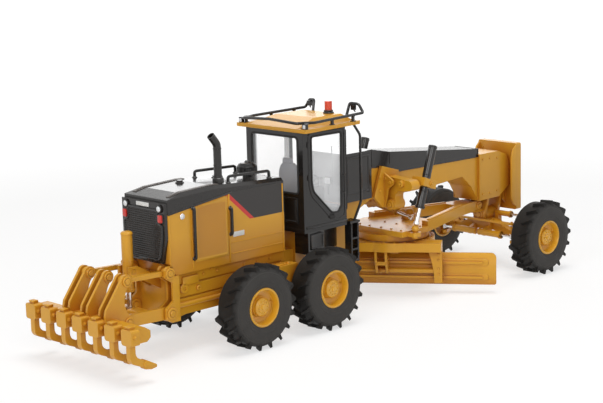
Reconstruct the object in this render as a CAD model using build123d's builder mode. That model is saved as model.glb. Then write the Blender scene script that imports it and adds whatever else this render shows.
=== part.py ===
"""Die-cast scale model (1:50) of a motor grader, in millimetres.

+X is forward, +Y is the machine's left, +Z is up, and the wheels stand on Z = 0.
Stations along X count from the middle of the tandem. X_TANDEM moves them all, so
that the origin lies under the middle of the model's own length.
"""

import math
import os

from build123d import *

os.makedirs("parts", exist_ok=True)

# Frame
X_TANDEM = -36.1

# Clearances
RUN = 0.05  # radial, pin in bore
FACE = 0.3  # between faces that move past each other
SEAT = 0.05  # between a tyre and its rim

# Wheels
WHEEL_Z = 14.55
TYRE_R = 14.55
TREAD_R = 13.3
TYRE_W = 10.0
RIM_R = 6.6
RIM_WALL = 0.7
LUGS = 18
LUG_W = 1.5
STUB_R = 1.6
REAR_WHEEL_Y = 22.0
TANDEM_HALF = 16.56

# Tandem cases
CASE_Y0 = 11.8
CASE_Y1 = 16.2
CASE_R = 5.6
CASE_TOP = 23.8
PIVOT_R = 3.0

# Rear frame and hood
FRAME_HALF = 9.5
FRAME_Z0 = 13.5
HOOD_REAR = -43.5
HOOD_FRONT = 8.0
HOOD_HALF = 11.0
PANEL_Z0 = 27.5
GRILLE_T = 1.2

# Articulation
X_HITCH = 13.0
HITCH_R = 3.6
HITCH_PIN_R = 1.5
EAR_T = 1.6
TONGUE_Z0 = 19.5
TONGUE_Z1 = 25.5

# Cab
CAB_REAR = 14.5
CAB_SIDE_FRONT = 35.5
CAB_FRONT = 39.0
CAB_HALF = 14.3
CAB_FRONT_HALF = 11.0
CAB_Z0 = 34.0
CAB_Z1 = 68.2
CAB_WALL = 0.9
GLASS_T = 0.5
ROOF_T = 1.2
ROOF_CROWN = 2.4

# Boom
BOOM_HALF = 5.6
COVER_HALF = BOOM_HALF + 0.2
BASE_Z = 32.6
TANK_Z0 = 24.2
NOSE_HALF = 6.6
SHROUD_HALF = 8.0
PLATE_X0 = 138.3
PLATE_T = 3.0
PLATE_HALF = 9.7
PLATE_Z0 = 22.0
PLATE_Z1 = 49.0

# Front axle
X_AXLE = 131.1
AXLE_PIN_Z = 20.5
AXLE_PIN_R = 1.5
LEAN_Y = 16.6
LEAN_PIN_R = 0.8
KING_Y = 20.2
KING_PIN_R = 0.7
FRONT_WHEEL_Y = 27.0
ARM_BACK = 5.5
ARM_IN = 2.8
KNUCKLE_HALF = 3.45
YOKE_HALF = 1.95
STEER_CYL_Z = 13.9
LEAN_CYL_X = 133.1
LEAN_CYL_Z = 21.0
LEAN_BAR_X = 135.4

# Drawbar, circle and blade
X_BALL = 122.5
BALL_Z = 25.5
BALL_R = 1.8
DRAWBAR_Z0 = 23.3
DRAWBAR_Z1 = 27.3
X_CIRCLE = 75.0
CIRCLE_R = 16.0
CIRCLE_IN = 11.8
CIRCLE_Z0 = 17.2
CIRCLE_Z1 = 20.6
BLADE_TURN = 36.0
BLADE_HALF = 42.4
BLADE_SHIFT = 2.9
BLADE_Z0 = 3.0
BLADE_Z1 = 15.0
BLADE_MID_Z = (BLADE_Z0 + BLADE_Z1) / 2
BLADE_T = 0.8
BLADE_TOP = -3.9
BLADE_EDGE = -4.6
BLADE_BACK = -6.9
RAIL = 0.9
RAIL_Z = (6.2, 11.8)

# Lift cylinders
LIFT_Y = 17.2
LIFT_EYE = (68.6, 26.2)
LIFT_YOKE = (74.4, 42.66)
LIFT_R = 1.6
LIFT_ROD_R = 0.75
LIFT_UP = 14.1
LIFT_DOWN = 9.6
YOKE_HOLE = 2.05
YOKE_H = 1.5

# Saddle with its levers, cheek plates and link bar
LEVER_X0 = 65.0
LEVER_X1 = 69.4
CHEEK_X = 62.9
CHEEK_T = 0.8
BAR_Y = BOOM_HALF + 3.2
BAR_Z = 34.9

# Centre shift cylinder
SHIFT_PIVOT = (73.4, 6.6, 32.4)
SHIFT_BALL = (73.4, -13.6, 28.4)
SHIFT_R = 1.3
SHIFT_ROD_R = 0.55
SHIFT_EYE = SHIFT_PIVOT[0] - SHIFT_R - 0.6

# Ripper
LINK_X = -43.6
LINK_Z0 = 15.4
LINK_Z1 = 28.7
LINK_DX = -17.5
LINK_DZ = 0.6
LINK_Y = 9.5
EAR_GAP = 1.9
EAR_PLATE = 1.0
LINK_PIN_R = 0.9
BEAM_HALF = 25.6
BEAM_X0 = -70.4
BEAM_X1 = -64.0
BEAM_Z0 = 13.2
BEAM_Z1 = 18.0
POCKET_X0 = -73.3
POCKET_W = 5.2
SHANKS = 7
SHANK_PITCH = 8.45
SHANK_W = 2.2
RIP_CYL_X = -51.9
RIP_CYL_Z = 29.6
RIP_CYL_R = 1.85
RIP_ROD_R = 0.9


def side(y=0.0):
    """Side view plane: x forward, z up, its normal to the machine's right."""
    return Plane(origin=(X_TANDEM, y, 0), x_dir=(1, 0, 0), z_dir=(0, -1, 0))


def plan(z=0.0):
    """Plan plane at height z, its normal up."""
    return Plane(origin=(X_TANDEM, 0, z), x_dir=(1, 0, 0), z_dir=(0, 0, 1))


def cross(x=0.0):
    """Cross plane at station x: y to the left, z up, its normal forward."""
    return Plane(origin=(X_TANDEM + x, 0, 0), x_dir=(0, 1, 0), z_dir=(1, 0, 0))


FRAME = plan()


def save(piece, name):
    """Label a finished piece and write it."""
    piece.label = name
    export_step(piece, f"parts/{name}.step")


def placed(piece, *locations):
    """Copies of a piece at stations of the machine's frame."""
    with BuildPart(FRAME) as copies:
        with Locations(*locations):
            add(piece)
    return copies.part


def mirrored(piece):
    """The left-hand twin of a right-hand piece, or the other way round."""
    return mirror(piece, about=Plane.XZ, mode=Mode.PRIVATE)


# Wheels, built round the origin with the outer side towards +Y
def make_tyre():
    half = TYRE_W / 2
    with BuildPart() as tyre:
        with BuildSketch(Plane.XY):
            with BuildLine():
                Polyline(
                    (RIM_R + SEAT, -half + 0.6),
                    (RIM_R + SEAT, half - 0.6),
                    (RIM_R + 1.0, half - 0.3),
                )
                ThreePointArc(
                    (RIM_R + 1.0, half - 0.3), (10.0, half), (TREAD_R - 0.6, half - 0.7)
                )
                Polyline(
                    (TREAD_R - 0.6, half - 0.7),
                    (TREAD_R, half - 1.6),
                    (TREAD_R, -half + 1.6),
                    (TREAD_R - 0.6, -half + 0.7),
                )
                ThreePointArc(
                    (TREAD_R - 0.6, -half + 0.7), (10.0, -half), (RIM_R + 1.0, -half + 0.3)
                )
                Line((RIM_R + 1.0, -half + 0.3), (RIM_R + SEAT, -half + 0.6))
            make_face()
        revolve(axis=Axis.Y)
        pitch = 360.0 / LUGS
        for hand in (1, -1):
            for index in range(LUGS):
                turn = (index + (0.25 if hand > 0 else 0.75)) * pitch
                root = Plane.XY.rotated((0, turn, 0)).offset(TREAD_R - 0.9)
                with BuildSketch(root):
                    with BuildLine():
                        Polyline(
                            (-LUG_W / 2 - 1.1, hand * 0.25),
                            (LUG_W / 2 - 1.1, hand * 0.25),
                            (LUG_W / 2 + 1.1, hand * (half - 0.55)),
                            (-LUG_W / 2 + 1.1, hand * (half - 0.55)),
                            close=True,
                        )
                    make_face()
                extrude(amount=TYRE_R - TREAD_R + 0.9 - 0.02, taper=6)
    return tyre.part


def make_rim():
    half = TYRE_W / 2 - 0.5
    bore = STUB_R + RUN
    with BuildPart() as rim:
        with BuildSketch(Plane.XY):
            with BuildLine():
                Polyline(
                    (bore, -3.2),
                    (3.0, -3.2),
                    (3.3, 0.4),
                    (RIM_R - RIM_WALL, -0.6),
                    (RIM_R - RIM_WALL, -half),
                    (RIM_R, -half),
                    (RIM_R, half),
                    (RIM_R - RIM_WALL, half),
                    (RIM_R - 1.3, 2.2),
                    (3.4, 1.8),
                    (3.1, 3.4),
                    (2.4, 3.9),
                    (0, 3.9),
                    (0, 2.6),
                    (bore, 2.6),
                    close=True,
                )
            make_face()
        revolve(axis=Axis.Y)
    return rim.part


TYRE = make_tyre()
RIM = make_rim()
TYRE_RIGHT = mirrored(TYRE)
RIM_RIGHT = mirrored(RIM)

# Wheel name, station, distance from the middle
WHEELS = (
    ("rear", -TANDEM_HALF, REAR_WHEEL_Y),
    ("middle", TANDEM_HALF, REAR_WHEEL_Y),
    ("front", X_AXLE, FRONT_WHEEL_Y),
)
for wheel, x, y in WHEELS:
    save(placed(TYRE, (x, y, WHEEL_Z)), f"{wheel}_tyre_left")
    save(placed(RIM, (x, y, WHEEL_Z)), f"{wheel}_rim_left")
    save(placed(TYRE_RIGHT, (x, -y, WHEEL_Z)), f"{wheel}_tyre_right")
    save(placed(RIM_RIGHT, (x, -y, WHEEL_Z)), f"{wheel}_rim_right")


# Tandem cases
with BuildPart(FRAME) as tandem:
    with BuildSketch(side(CASE_Y1)):
        with Locations((0, WHEEL_Z)):
            SlotCenterToCenter(2 * TANDEM_HALF, 2 * CASE_R)
        with BuildLine():
            Polyline(
                (-13.5, WHEEL_Z),
                (13.5, WHEEL_Z),
                (8.8, CASE_TOP),
                (-8.8, CASE_TOP),
                close=True,
            )
        make_face()
    extrude(amount=CASE_Y1 - CASE_Y0)
    with BuildSketch(side(CASE_Y0)):
        with Locations((0, WHEEL_Z)):
            Circle(PIVOT_R + RUN)
    extrude(amount=-(CASE_Y1 - CASE_Y0 - 0.8), mode=Mode.SUBTRACT)
    with BuildSketch(side(CASE_Y1)):
        with Locations((-TANDEM_HALF, WHEEL_Z), (TANDEM_HALF, WHEEL_Z)):
            Circle(2.9)
    extrude(amount=-(REAR_WHEEL_Y - 3.2 - FACE - CASE_Y1))
    with BuildSketch(side(CASE_Y1)):
        with Locations((-TANDEM_HALF, WHEEL_Z), (TANDEM_HALF, WHEEL_Z)):
            Circle(STUB_R)
    extrude(amount=-(REAR_WHEEL_Y + 2.3 - CASE_Y1))
save(tandem.part, "tandem_case_left")
save(mirrored(tandem.part), "tandem_case_right")


# Rear frame with the hitch fork, the tandem pivots and the ripper ears
with BuildPart(FRAME) as rear_frame:
    with BuildSketch(side()):
        with BuildLine():
            Polyline(
                (-41.2, 12.6),
                (-36.0, FRAME_Z0),
                (5.0, FRAME_Z0),
                (8.6, 16.0),
                (8.6, PANEL_Z0),
                (-41.2, PANEL_Z0),
                close=True,
            )
        make_face()
    extrude(amount=FRAME_HALF, both=True)
    for y in (FRAME_HALF, -FRAME_HALF):
        groove = side(y)
        with BuildSketch(groove):
            with Locations((-16.5, 19.2), (-16.5, 23.6)):
                Rectangle(48, 0.6)
        extrude(amount=0.5, both=True, mode=Mode.SUBTRACT)
    with BuildSketch(side()):
        with Locations((0, WHEEL_Z)):
            Circle(PIVOT_R)
    extrude(amount=CASE_Y1 - 0.8 - FACE, both=True)
    with BuildSketch(side()):
        with Locations((0, WHEEL_Z)):
            Circle(PIVOT_R + 1.4)
    extrude(amount=CASE_Y0 - FACE, both=True)
    for z in (TONGUE_Z0 - FACE - EAR_T, TONGUE_Z1 + FACE):
        with BuildSketch(plan(z)):
            with Locations((X_HITCH, 0)):
                Circle(HITCH_R)
            with Locations(((8.0 + X_HITCH) / 2, 0)):
                Rectangle(X_HITCH - 8.0, 2 * HITCH_R)
        extrude(amount=EAR_T)
    with BuildSketch(plan(TONGUE_Z0 - 1.0)):
        with Locations((X_HITCH, 0)):
            Circle(HITCH_PIN_R)
    extrude(amount=TONGUE_Z1 - TONGUE_Z0 + 2.0)
    for y in (-LINK_Y, LINK_Y):
        for step in (-1, 1):
            inner = y + step * (EAR_GAP + EAR_PLATE) / 2
            with BuildSketch(side(inner)):
                with BuildLine():
                    Polyline(
                        (-40.0, 12.3),
                        (LINK_X, 12.3),
                        (LINK_X - 2.4, 13.6),
                        (LINK_X - 2.4, 17.0),
                        (LINK_X + 0.8, 19.4),
                        (LINK_X + 0.8, 25.4),
                        (LINK_X - 2.2, 27.4),
                        (LINK_X - 2.4, 30.0),
                        (LINK_X - 1.2, 31.1),
                        (LINK_X + 0.0, 31.1),
                        (LINK_X + 0.05, PANEL_Z0),
                        (-40.0, PANEL_Z0),
                        close=True,
                    )
                make_face()
            extrude(amount=EAR_PLATE / 2, both=True)
        with BuildSketch(side(y)):
            with Locations((LINK_X, LINK_Z0), (LINK_X - 0.3, LINK_Z1)):
                Circle(LINK_PIN_R)
        extrude(amount=EAR_GAP / 2 + EAR_PLATE / 2, both=True)
    for y in (-RIP_CYL_R - FACE - 0.5, RIP_CYL_R + FACE + 0.5):
        with BuildSketch(side(y)):
            with BuildLine():
                Polyline(
                    (-41.0, 22.0),
                    (RIP_CYL_X + 1.5, 27.4),
                    (RIP_CYL_X - 1.9, 28.3),
                    (RIP_CYL_X - 1.9, 31.2),
                    (RIP_CYL_X + 1.5, 31.2),
                    (-43.9, 27.4),
                    (-41.0, 27.4),
                    close=True,
                )
            make_face()
            with Locations((RIP_CYL_X, RIP_CYL_Z)):
                Circle(0.8 + RUN, mode=Mode.SUBTRACT)
        extrude(amount=0.5, both=True)
save(rear_frame.part, "rear_frame")

# Engine side panels and the black hood top share their seam
SEAM_REAR = 47.9
SEAM_MID = (-15.6, 51.5)
with BuildPart(FRAME) as panels:
    with BuildSketch(side()):
        with BuildLine():
            Polyline(
                (HOOD_REAR, PANEL_Z0),
                (HOOD_FRONT, PANEL_Z0),
                (HOOD_FRONT, SEAM_MID[1]),
                SEAM_MID,
                (HOOD_REAR, SEAM_REAR),
                close=True,
            )
        make_face()
    extrude(amount=HOOD_HALF, both=True)
    # the notch over the ripper ears and the trunnion bracket
    with BuildSketch(side()):
        with BuildLine():
            Polyline(
                (HOOD_REAR - 1, PANEL_Z0 - 1),
                (-41.0, PANEL_Z0 - 1),
                (-41.0, PANEL_Z0 + 0.0),
                (HOOD_REAR + 0.6, 31.6),
                (HOOD_REAR - 1, 31.6),
                close=True,
            )
        make_face()
    extrude(amount=HOOD_HALF + 1, both=True, mode=Mode.SUBTRACT)
save(panels.part, "engine_side_panels")

with BuildPart(FRAME) as hood_top:
    with BuildSketch(side()):
        with BuildLine():
            Polyline(
                (HOOD_REAR, SEAM_REAR),
                SEAM_MID,
                (HOOD_FRONT, SEAM_MID[1]),
                (HOOD_FRONT, 53.1),
                (-6.0, 53.7),
                (-23.0, 54.6),
                (-37.0, 54.0),
                (HOOD_REAR, 52.6),
                close=True,
            )
        make_face()
    extrude(amount=HOOD_HALF, both=True)
    top_edges = hood_top.faces().filter_by(Axis.Y).edges().filter_by_position(
        Axis.Z, 52.5, 55.0, inclusive=(True, True)
    )
    chamfer(
        [e for e in top_edges if abs(e.tangent_at(0.5).Z) < 0.2 and e.center().Z > 52.8],
        length=1.1,
    )
save(hood_top.part, "hood_top")

# Radiator grille: a black frame with louvres across the hood's rear
with BuildPart(FRAME) as grille:
    with BuildSketch(cross(HOOD_REAR)):
        with BuildLine():
            Polyline(
                (-9.0, 31.6),
                (9.0, 31.6),
                (10.9, 40.0),
                (10.9, 51.6),
                (-10.9, 51.6),
                (-10.9, 40.0),
                close=True,
            )
        make_face()
    extrude(amount=-GRILLE_T)
    with BuildSketch(cross(HOOD_REAR - GRILLE_T)):
        with Locations((0, 38.6)):
            Rectangle(13.4, 12.6)
    extrude(amount=0.7, mode=Mode.SUBTRACT)
    with BuildSketch(cross(HOOD_REAR - GRILLE_T + 0.7)):
        with Locations(*[(0, 33.2 + 1.2 * row) for row in range(10)]):
            Rectangle(13.4, 0.55)
    extrude(amount=-0.5)
save(grille.part, "radiator_grille")

with BuildPart(FRAME) as lamps:
    with BuildSketch(cross(HOOD_REAR - GRILLE_T)):
        with Locations((-9.1, 46.6), (9.1, 46.6)):
            RectangleRounded(2.0, 2.6, 0.4)
        with Locations((-8.6, 49.8), (8.6, 49.8)):
            Circle(0.95)
    extrude(amount=-0.6)
save(lamps.part, "rear_lamps")

# Exhaust stack with its mouth to the rear
with BuildPart(FRAME) as exhaust:
    with BuildLine(side(-7.0)) as route:
        FilletPolyline((-18, 54.0), (-18, 67.4), (-20.6, 70.6), radius=3.2)
    with BuildSketch(Plane(origin=route.wire() @ 0, z_dir=route.wire() % 0)):
        Circle(1.35)
    sweep(path=route.wire())
    with BuildSketch(Plane(origin=route.wire() @ 1, z_dir=route.wire() % 1)):
        Circle(1.0)
    extrude(amount=-1.6, mode=Mode.SUBTRACT)
    with BuildSketch(plan(54.45)):
        with Locations((-18, -7.0)):
            Circle(1.9)
    extrude(amount=1.2)
    # a flat foot on the hood
    with BuildSketch(side(-7.0)):
        with BuildLine():
            Polyline(
                (-21, 50), (-15, 50), (-15, 54.177), (-21, 54.495), close=True
            )
        make_face()
    extrude(amount=3, both=True, mode=Mode.SUBTRACT)
save(exhaust.part, "exhaust_stack")

# Pre-cleaner, hood rails and door handles
RAIL_R = 0.4
with BuildPart(FRAME) as fittings:
    with BuildSketch(side()):
        with BuildLine():
            Polyline(
                (1.4, 53.46),
                (3.0, 53.46),
                (3.0, 54.6),
                (4.8, 54.9),
                (4.8, 56.9),
                (4.2, 57.9),
                (1.4, 57.9),
                close=True,
            )
        make_face()
    revolve(axis=Axis((X_TANDEM + 1.4, 0, 0), (0, 0, 1)))
    for y in (-8.6, 8.6):
        with BuildLine(side(y)) as route:
            FilletPolyline(
                (-15.0, 54.2), (-15.0, 56.4), (3.6, 55.8), (3.6, 53.3), radius=0.9
            )
        with BuildSketch(Plane(origin=route.wire() @ 0, z_dir=route.wire() % 0)):
            Circle(RAIL_R)
        sweep(path=route.wire())
    for y in (-HOOD_HALF, HOOD_HALF):
        out = y + math.copysign(0.95, y)
        for x, z0, z1 in ((-33.0, 31.8, 48.6), (-16.8, 37.4, 46.2)):
            with BuildLine() as route:
                FilletPolyline(
                    (X_TANDEM + x, y, z0),
                    (X_TANDEM + x, out, z0),
                    (X_TANDEM + x, out, z1),
                    (X_TANDEM + x, y, z1),
                    radius=0.5,
                )
            with BuildSketch(Plane(origin=route.wire() @ 0, z_dir=route.wire() % 0)):
                Circle(RAIL_R)
            sweep(path=route.wire())
save(fittings.part, "hood_fittings")


# Ripper: lower link, upper links, carriage with its shanks, lift cylinder
PIN_BORE = LINK_PIN_R + RUN
LINK_T = EAR_GAP - 2 * 0.2
with BuildPart(FRAME) as lower_link:
    for y in (-LINK_Y, LINK_Y):
        with BuildSketch(side(y)):
            with Locations((LINK_X + LINK_DX / 2, LINK_Z0 + LINK_DZ / 2)):
                SlotCenterToCenter(
                    math.hypot(LINK_DX, LINK_DZ), 4.0, rotation=math.degrees(math.atan2(-LINK_DZ, -LINK_DX))
                )
            with Locations(
                (LINK_X, LINK_Z0), (LINK_X + LINK_DX, LINK_Z0 + LINK_DZ)
            ):
                Circle(PIN_BORE, mode=Mode.SUBTRACT)
        extrude(amount=LINK_T / 2, both=True)
    with BuildSketch(side()):
        with Locations((RIP_CYL_X, LINK_Z0 + 0.25)):
            RectangleRounded(5.0, 3.2, 0.8)
    extrude(amount=LINK_Y, both=True)
    # slot for the cylinder's rod and its pin
    with BuildSketch(side()):
        with Locations((RIP_CYL_X, LINK_Z0 + 1.4)):
            Rectangle(6.0, 4.6)
    extrude(amount=1.3, both=True, mode=Mode.SUBTRACT)
    with BuildSketch(side()):
        with Locations((RIP_CYL_X, LINK_Z0 + 0.0)):
            Circle(0.5)
    extrude(amount=1.5, both=True)
save(lower_link.part, "ripper_lower_link")

with BuildPart(FRAME) as upper_links:
    for y in (-LINK_Y, LINK_Y):
        ends = ((LINK_X - 0.3, LINK_Z1), (LINK_X - 0.3 + LINK_DX, LINK_Z1 + LINK_DZ))
        with BuildSketch(side(y)):
            with BuildLine():
                Polyline(
                    (ends[0][0], ends[0][1] - 0.8),
                    (ends[0][0], ends[0][1] + 0.8),
                    (ends[1][0], ends[1][1] + 0.8),
                    (ends[1][0], ends[1][1] - 0.8),
                    close=True,
                )
            make_face()
            with Locations(*ends):
                Circle(1.7)
                Circle(PIN_BORE, mode=Mode.SUBTRACT)
        extrude(amount=LINK_T / 2, both=True)
save(upper_links.part, "ripper_upper_links")

UPPER_PIN = (LINK_X - 0.3 + LINK_DX, LINK_Z1 + LINK_DZ)
LOWER_PIN = (LINK_X + LINK_DX, LINK_Z0 + LINK_DZ)
with BuildPart(FRAME) as carriage:
    for y in (-LINK_Y, 0.0, LINK_Y):
        for step in (-1, 1):
            with BuildSketch(side(y + step * (EAR_GAP + EAR_PLATE) / 2)):
                with BuildLine():
                    head_front = (UPPER_PIN[0] + 2.0, UPPER_PIN[1] - 0.4)
                    head_back = (UPPER_PIN[0] - 2.2, UPPER_PIN[1] + 0.8)
                    foot_top = (LOWER_PIN[0] + 0.4, LOWER_PIN[1] + 2.2)
                    foot_low = (LOWER_PIN[0] - 0.5, LOWER_PIN[1] - 2.2)
                    ThreePointArc(head_front, (UPPER_PIN[0] + 0.2, UPPER_PIN[1] + 2.2), head_back)
                    Polyline(
                        head_back,
                        (BEAM_X0 + 0.4, BEAM_Z1 + 3.4),
                        (BEAM_X0, BEAM_Z1 + 1.4),
                        (BEAM_X0, BEAM_Z0 + 0.4),
                        (BEAM_X1, BEAM_Z0 + 0.4),
                        foot_low,
                    )
                    ThreePointArc(foot_low, (LOWER_PIN[0] + 2.2, LOWER_PIN[1]), foot_top)
                    ThreePointArc(foot_top, (LOWER_PIN[0] - 1.5, LOWER_PIN[1] + 7.0), head_front)
                make_face()
            extrude(amount=EAR_PLATE / 2, both=True)
    for y in (-LINK_Y, 0.0, LINK_Y):
        with BuildSketch(side(y)):
            with Locations(UPPER_PIN, LOWER_PIN):
                Circle(LINK_PIN_R)
        extrude(amount=EAR_GAP / 2 + 0.5, both=True)
    with BuildSketch(side()):
        with BuildLine():
            Polyline(
                (BEAM_X0, BEAM_Z0),
                (BEAM_X1 - 1.4, BEAM_Z0),
                (BEAM_X1, BEAM_Z0 + 1.2),
                (BEAM_X1, BEAM_Z1 - 1.4),
                (BEAM_X1 - 2.2, BEAM_Z1),
                (BEAM_X0, BEAM_Z1),
                close=True,
            )
        make_face()
    extrude(amount=BEAM_HALF, both=True)
    shank_back = POCKET_X0 + 0.6
    shank_front = shank_back + 1.9
    for index in range(SHANKS):
        y = (index - (SHANKS - 1) / 2) * SHANK_PITCH
        # pocket with rounded corners on the beam's back
        with BuildSketch(cross(POCKET_X0)):
            with Locations((y, (BEAM_Z0 + BEAM_Z1) / 2 + 0.3)):
                RectangleRounded(POCKET_W, BEAM_Z1 - BEAM_Z0 + 0.4, 0.9)
        extrude(amount=BEAM_X0 + 0.4 - POCKET_X0)
        # shank through it, bent forward into a long tooth
        with BuildSketch(side(y)):
            with BuildLine():
                Polyline((shank_front, 11.0), (shank_front, 19.1), (shank_back, 19.1), (shank_back, 9.2))
                ThreePointArc((shank_back, 9.2), (shank_back + 0.4, 8.0), (shank_back + 1.4, 7.1))
                Line((shank_back + 1.4, 7.1), (-66.4, 5.0))
                ThreePointArc((-66.4, 5.0), (-64.8, 4.7), (-63.0, 4.9))
                Polyline((-63.0, 4.9), (-62.9, 5.5), (-69.0, 8.6))
                ThreePointArc((-69.0, 8.6), (-70.3, 9.5), (shank_front, 11.0))
            make_face()
        extrude(amount=SHANK_W / 2, both=True)
save(carriage.part, "ripper_carriage")

RIP_BARREL_Z0 = 22.6
RIP_BARREL_Z1 = 42.2
with BuildPart(FRAME) as rip_barrel:
    with BuildSketch(plan(RIP_BARREL_Z0)):
        with Locations((RIP_CYL_X, 0)):
            Circle(RIP_CYL_R)
    extrude(amount=RIP_BARREL_Z1 - RIP_BARREL_Z0)
    with BuildSketch(plan(RIP_BARREL_Z0)):
        with Locations((RIP_CYL_X, 0)):
            Circle(RIP_ROD_R + RUN)
    extrude(amount=16.0, mode=Mode.SUBTRACT)
    with BuildSketch(side()):
        with Locations((RIP_CYL_X, RIP_CYL_Z)):
            Circle(0.8)
    extrude(amount=RIP_CYL_R + FACE + 0.9, both=True)
    with BuildSketch(plan(RIP_BARREL_Z0)):
        with Locations((RIP_CYL_X, 0)):
            Circle(RIP_ROD_R + RUN)
    extrude(amount=16.0, mode=Mode.SUBTRACT)
save(rip_barrel.part, "ripper_cylinder")

with BuildPart(FRAME) as rip_rod:
    with BuildSketch(plan(LINK_Z0 + 0.5 + 0.3)):
        with Locations((RIP_CYL_X, 0)):
            Circle(RIP_ROD_R)
    extrude(amount=17.6)
save(rip_rod.part, "ripper_rod")


# Front frame: boom, nose, axle fork and the hitch tongue in one casting
BOOM_SEAM = ((41.0, 38.7), (55.4, 38.7), (55.4, 49.3), (66.0, 48.6), (71.5, 46.0), (119.0, 45.5))
with BuildPart(FRAME) as front_frame:
    with BuildSketch(side()):
        with BuildLine():
            Polyline(
                (18.0, 19.5),
                (41.0, 19.5),
                (44.5, 21.5),
                (50.0, 34.6),
                (57.0, 37.6),
                (94.0, 37.9),
                (109.5, 38.9),
                (115.0, 34.2),
                (119.0, 28.0),
                (119.0, 45.5),
                *reversed(BOOM_SEAM[:-1]),
                (41.0, BASE_Z),
                (18.0, BASE_Z),
                close=True,
            )
        make_face()
    extrude(amount=BOOM_HALF, both=True)
    with BuildSketch(side()):
        with BuildLine():
            Polyline(
                (119.0, 46.6),
                (130.7, 46.6),
                (135.6, 44.8),
                (PLATE_X0, 39.8),
                (PLATE_X0, 32.5),
                (131.3, 28.2),
                (119.0, 28.0),
                close=True,
            )
        make_face()
    extrude(amount=NOSE_HALF, both=True)
    with BuildSketch(plan(TONGUE_Z0)):
        with Locations((X_HITCH, 0)):
            Circle(HITCH_R - 0.4)
        with BuildLine():
            Polyline(
                (X_HITCH, -HITCH_R + 0.4),
                (18.5, -4.6),
                (18.5, 4.6),
                (X_HITCH, HITCH_R - 0.4),
                close=True,
            )
        make_face()
        with Locations((X_HITCH, 0)):
            Circle(HITCH_PIN_R + RUN, mode=Mode.SUBTRACT)
    extrude(amount=TONGUE_Z1 - TONGUE_Z0)
    for x in (127.1, 135.1):
        with BuildSketch(cross(x)):
            with BuildLine():
                Polyline(
                    (-4.6, 28.4), (4.6, 28.4), (2.6, 19.0), (0, 17.8), (-2.6, 19.0), close=True
                )
            make_face()
        extrude(amount=0.7, both=True)
    with BuildSketch(cross(127.1)):
        with Locations((0, AXLE_PIN_Z)):
            Circle(AXLE_PIN_R)
    extrude(amount=8.0)
    # horizontal lugs that hold the drawbar's ball
    for z in (BALL_Z - BALL_R - FACE - 0.6, BALL_Z + BALL_R + FACE + 0.6):
        with BuildSketch(plan(z)):
            with BuildLine():
                Polyline((127.0, -2.2), (X_BALL, -1.6), (X_BALL, 1.6), (127.0, 2.2), close=True)
            make_face()
            with Locations((X_BALL, 0)):
                Circle(1.6)
                Circle(0.7 + RUN, mode=Mode.SUBTRACT)
        extrude(amount=0.6, both=True)
    with BuildSketch(plan(BALL_Z)):
        with Locations((X_BALL, 0)):
            Circle(0.7 + RUN)
    extrude(amount=BALL_R + 2.0, both=True, mode=Mode.SUBTRACT)
save(front_frame.part, "front_frame")

with BuildPart(FRAME) as cover:
    with BuildSketch(side()):
        with BuildLine():
            Polyline(
                *BOOM_SEAM,
                (119.0, 48.8),
                (67.7, 54.1),
                (58.0, 56.1),
                (50.0, 56.4),
                (50.0, 45.0),
                (41.0, 45.0),
                close=True,
            )
        make_face()
    extrude(amount=COVER_HALF, both=True)
    with BuildSketch(side()):
        with BuildLine():
            Polyline(
                BOOM_SEAM[0], BOOM_SEAM[1], (55.4, 55.9), (53.5, 56.5), (41.0, 56.5), close=True
            )
        make_face()
    extrude(amount=SHROUD_HALF, both=True)
save(cover.part, "boom_cover")

with BuildPart(FRAME) as push_plate:
    with BuildSketch(cross(PLATE_X0)):
        with Locations((0, (PLATE_Z0 + PLATE_Z1) / 2)):
            RectangleRounded(2 * PLATE_HALF, PLATE_Z1 - PLATE_Z0, 0.8)
    extrude(amount=PLATE_T)
save(push_plate.part, "push_plate")


# Cab: base with tanks and ladders, hollow shell, glass, roof and seat
CAB_PLAN = (
    (CAB_REAR, -CAB_HALF),
    (CAB_SIDE_FRONT, -CAB_HALF),
    (CAB_FRONT, -CAB_FRONT_HALF),
    (CAB_FRONT, CAB_FRONT_HALF),
    (CAB_SIDE_FRONT, CAB_HALF),
    (CAB_REAR, CAB_HALF),
)
with BuildPart(FRAME) as cab_base:
    with BuildSketch(plan(BASE_Z)):
        with BuildLine():
            Polyline(*CAB_PLAN, close=True)
        make_face()
    extrude(amount=CAB_Z0 - BASE_Z)
    for hand in (-1, 1):
        with BuildSketch(plan(TANK_Z0)):
            with BuildLine():
                Polyline(
                    (18.0, hand * (BOOM_HALF + 0.05)),
                    (18.0, hand * 12.4),
                    (27.0, hand * 11.2),
                    (36.0, hand * 8.6),
                    (36.0, hand * (BOOM_HALF + 0.05)),
                    close=True,
                )
            make_face()
        extrude(amount=BASE_Z - TANK_Z0)
        with BuildSketch(plan(BASE_Z)):
            with Locations((40.0, hand * 11.9)):
                Rectangle(5.0, 4.4)
        extrude(amount=CAB_Z0 - BASE_Z - 0.6)
        for x in (38.6, 41.9):
            with BuildSketch(plan(18.2)):
                with Locations((x, hand * 12.1)):
                    Rectangle(0.7, 3.2)
            extrude(amount=BASE_Z - 18.2 + 0.4)
        for z in (18.6, 22.6, 26.6):
            with BuildSketch(plan(z)):
                with Locations((40.25, hand * 12.1)):
                    Rectangle(3.6, 3.2)
            extrude(amount=0.6)
save(cab_base.part, "cab_base")

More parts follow.
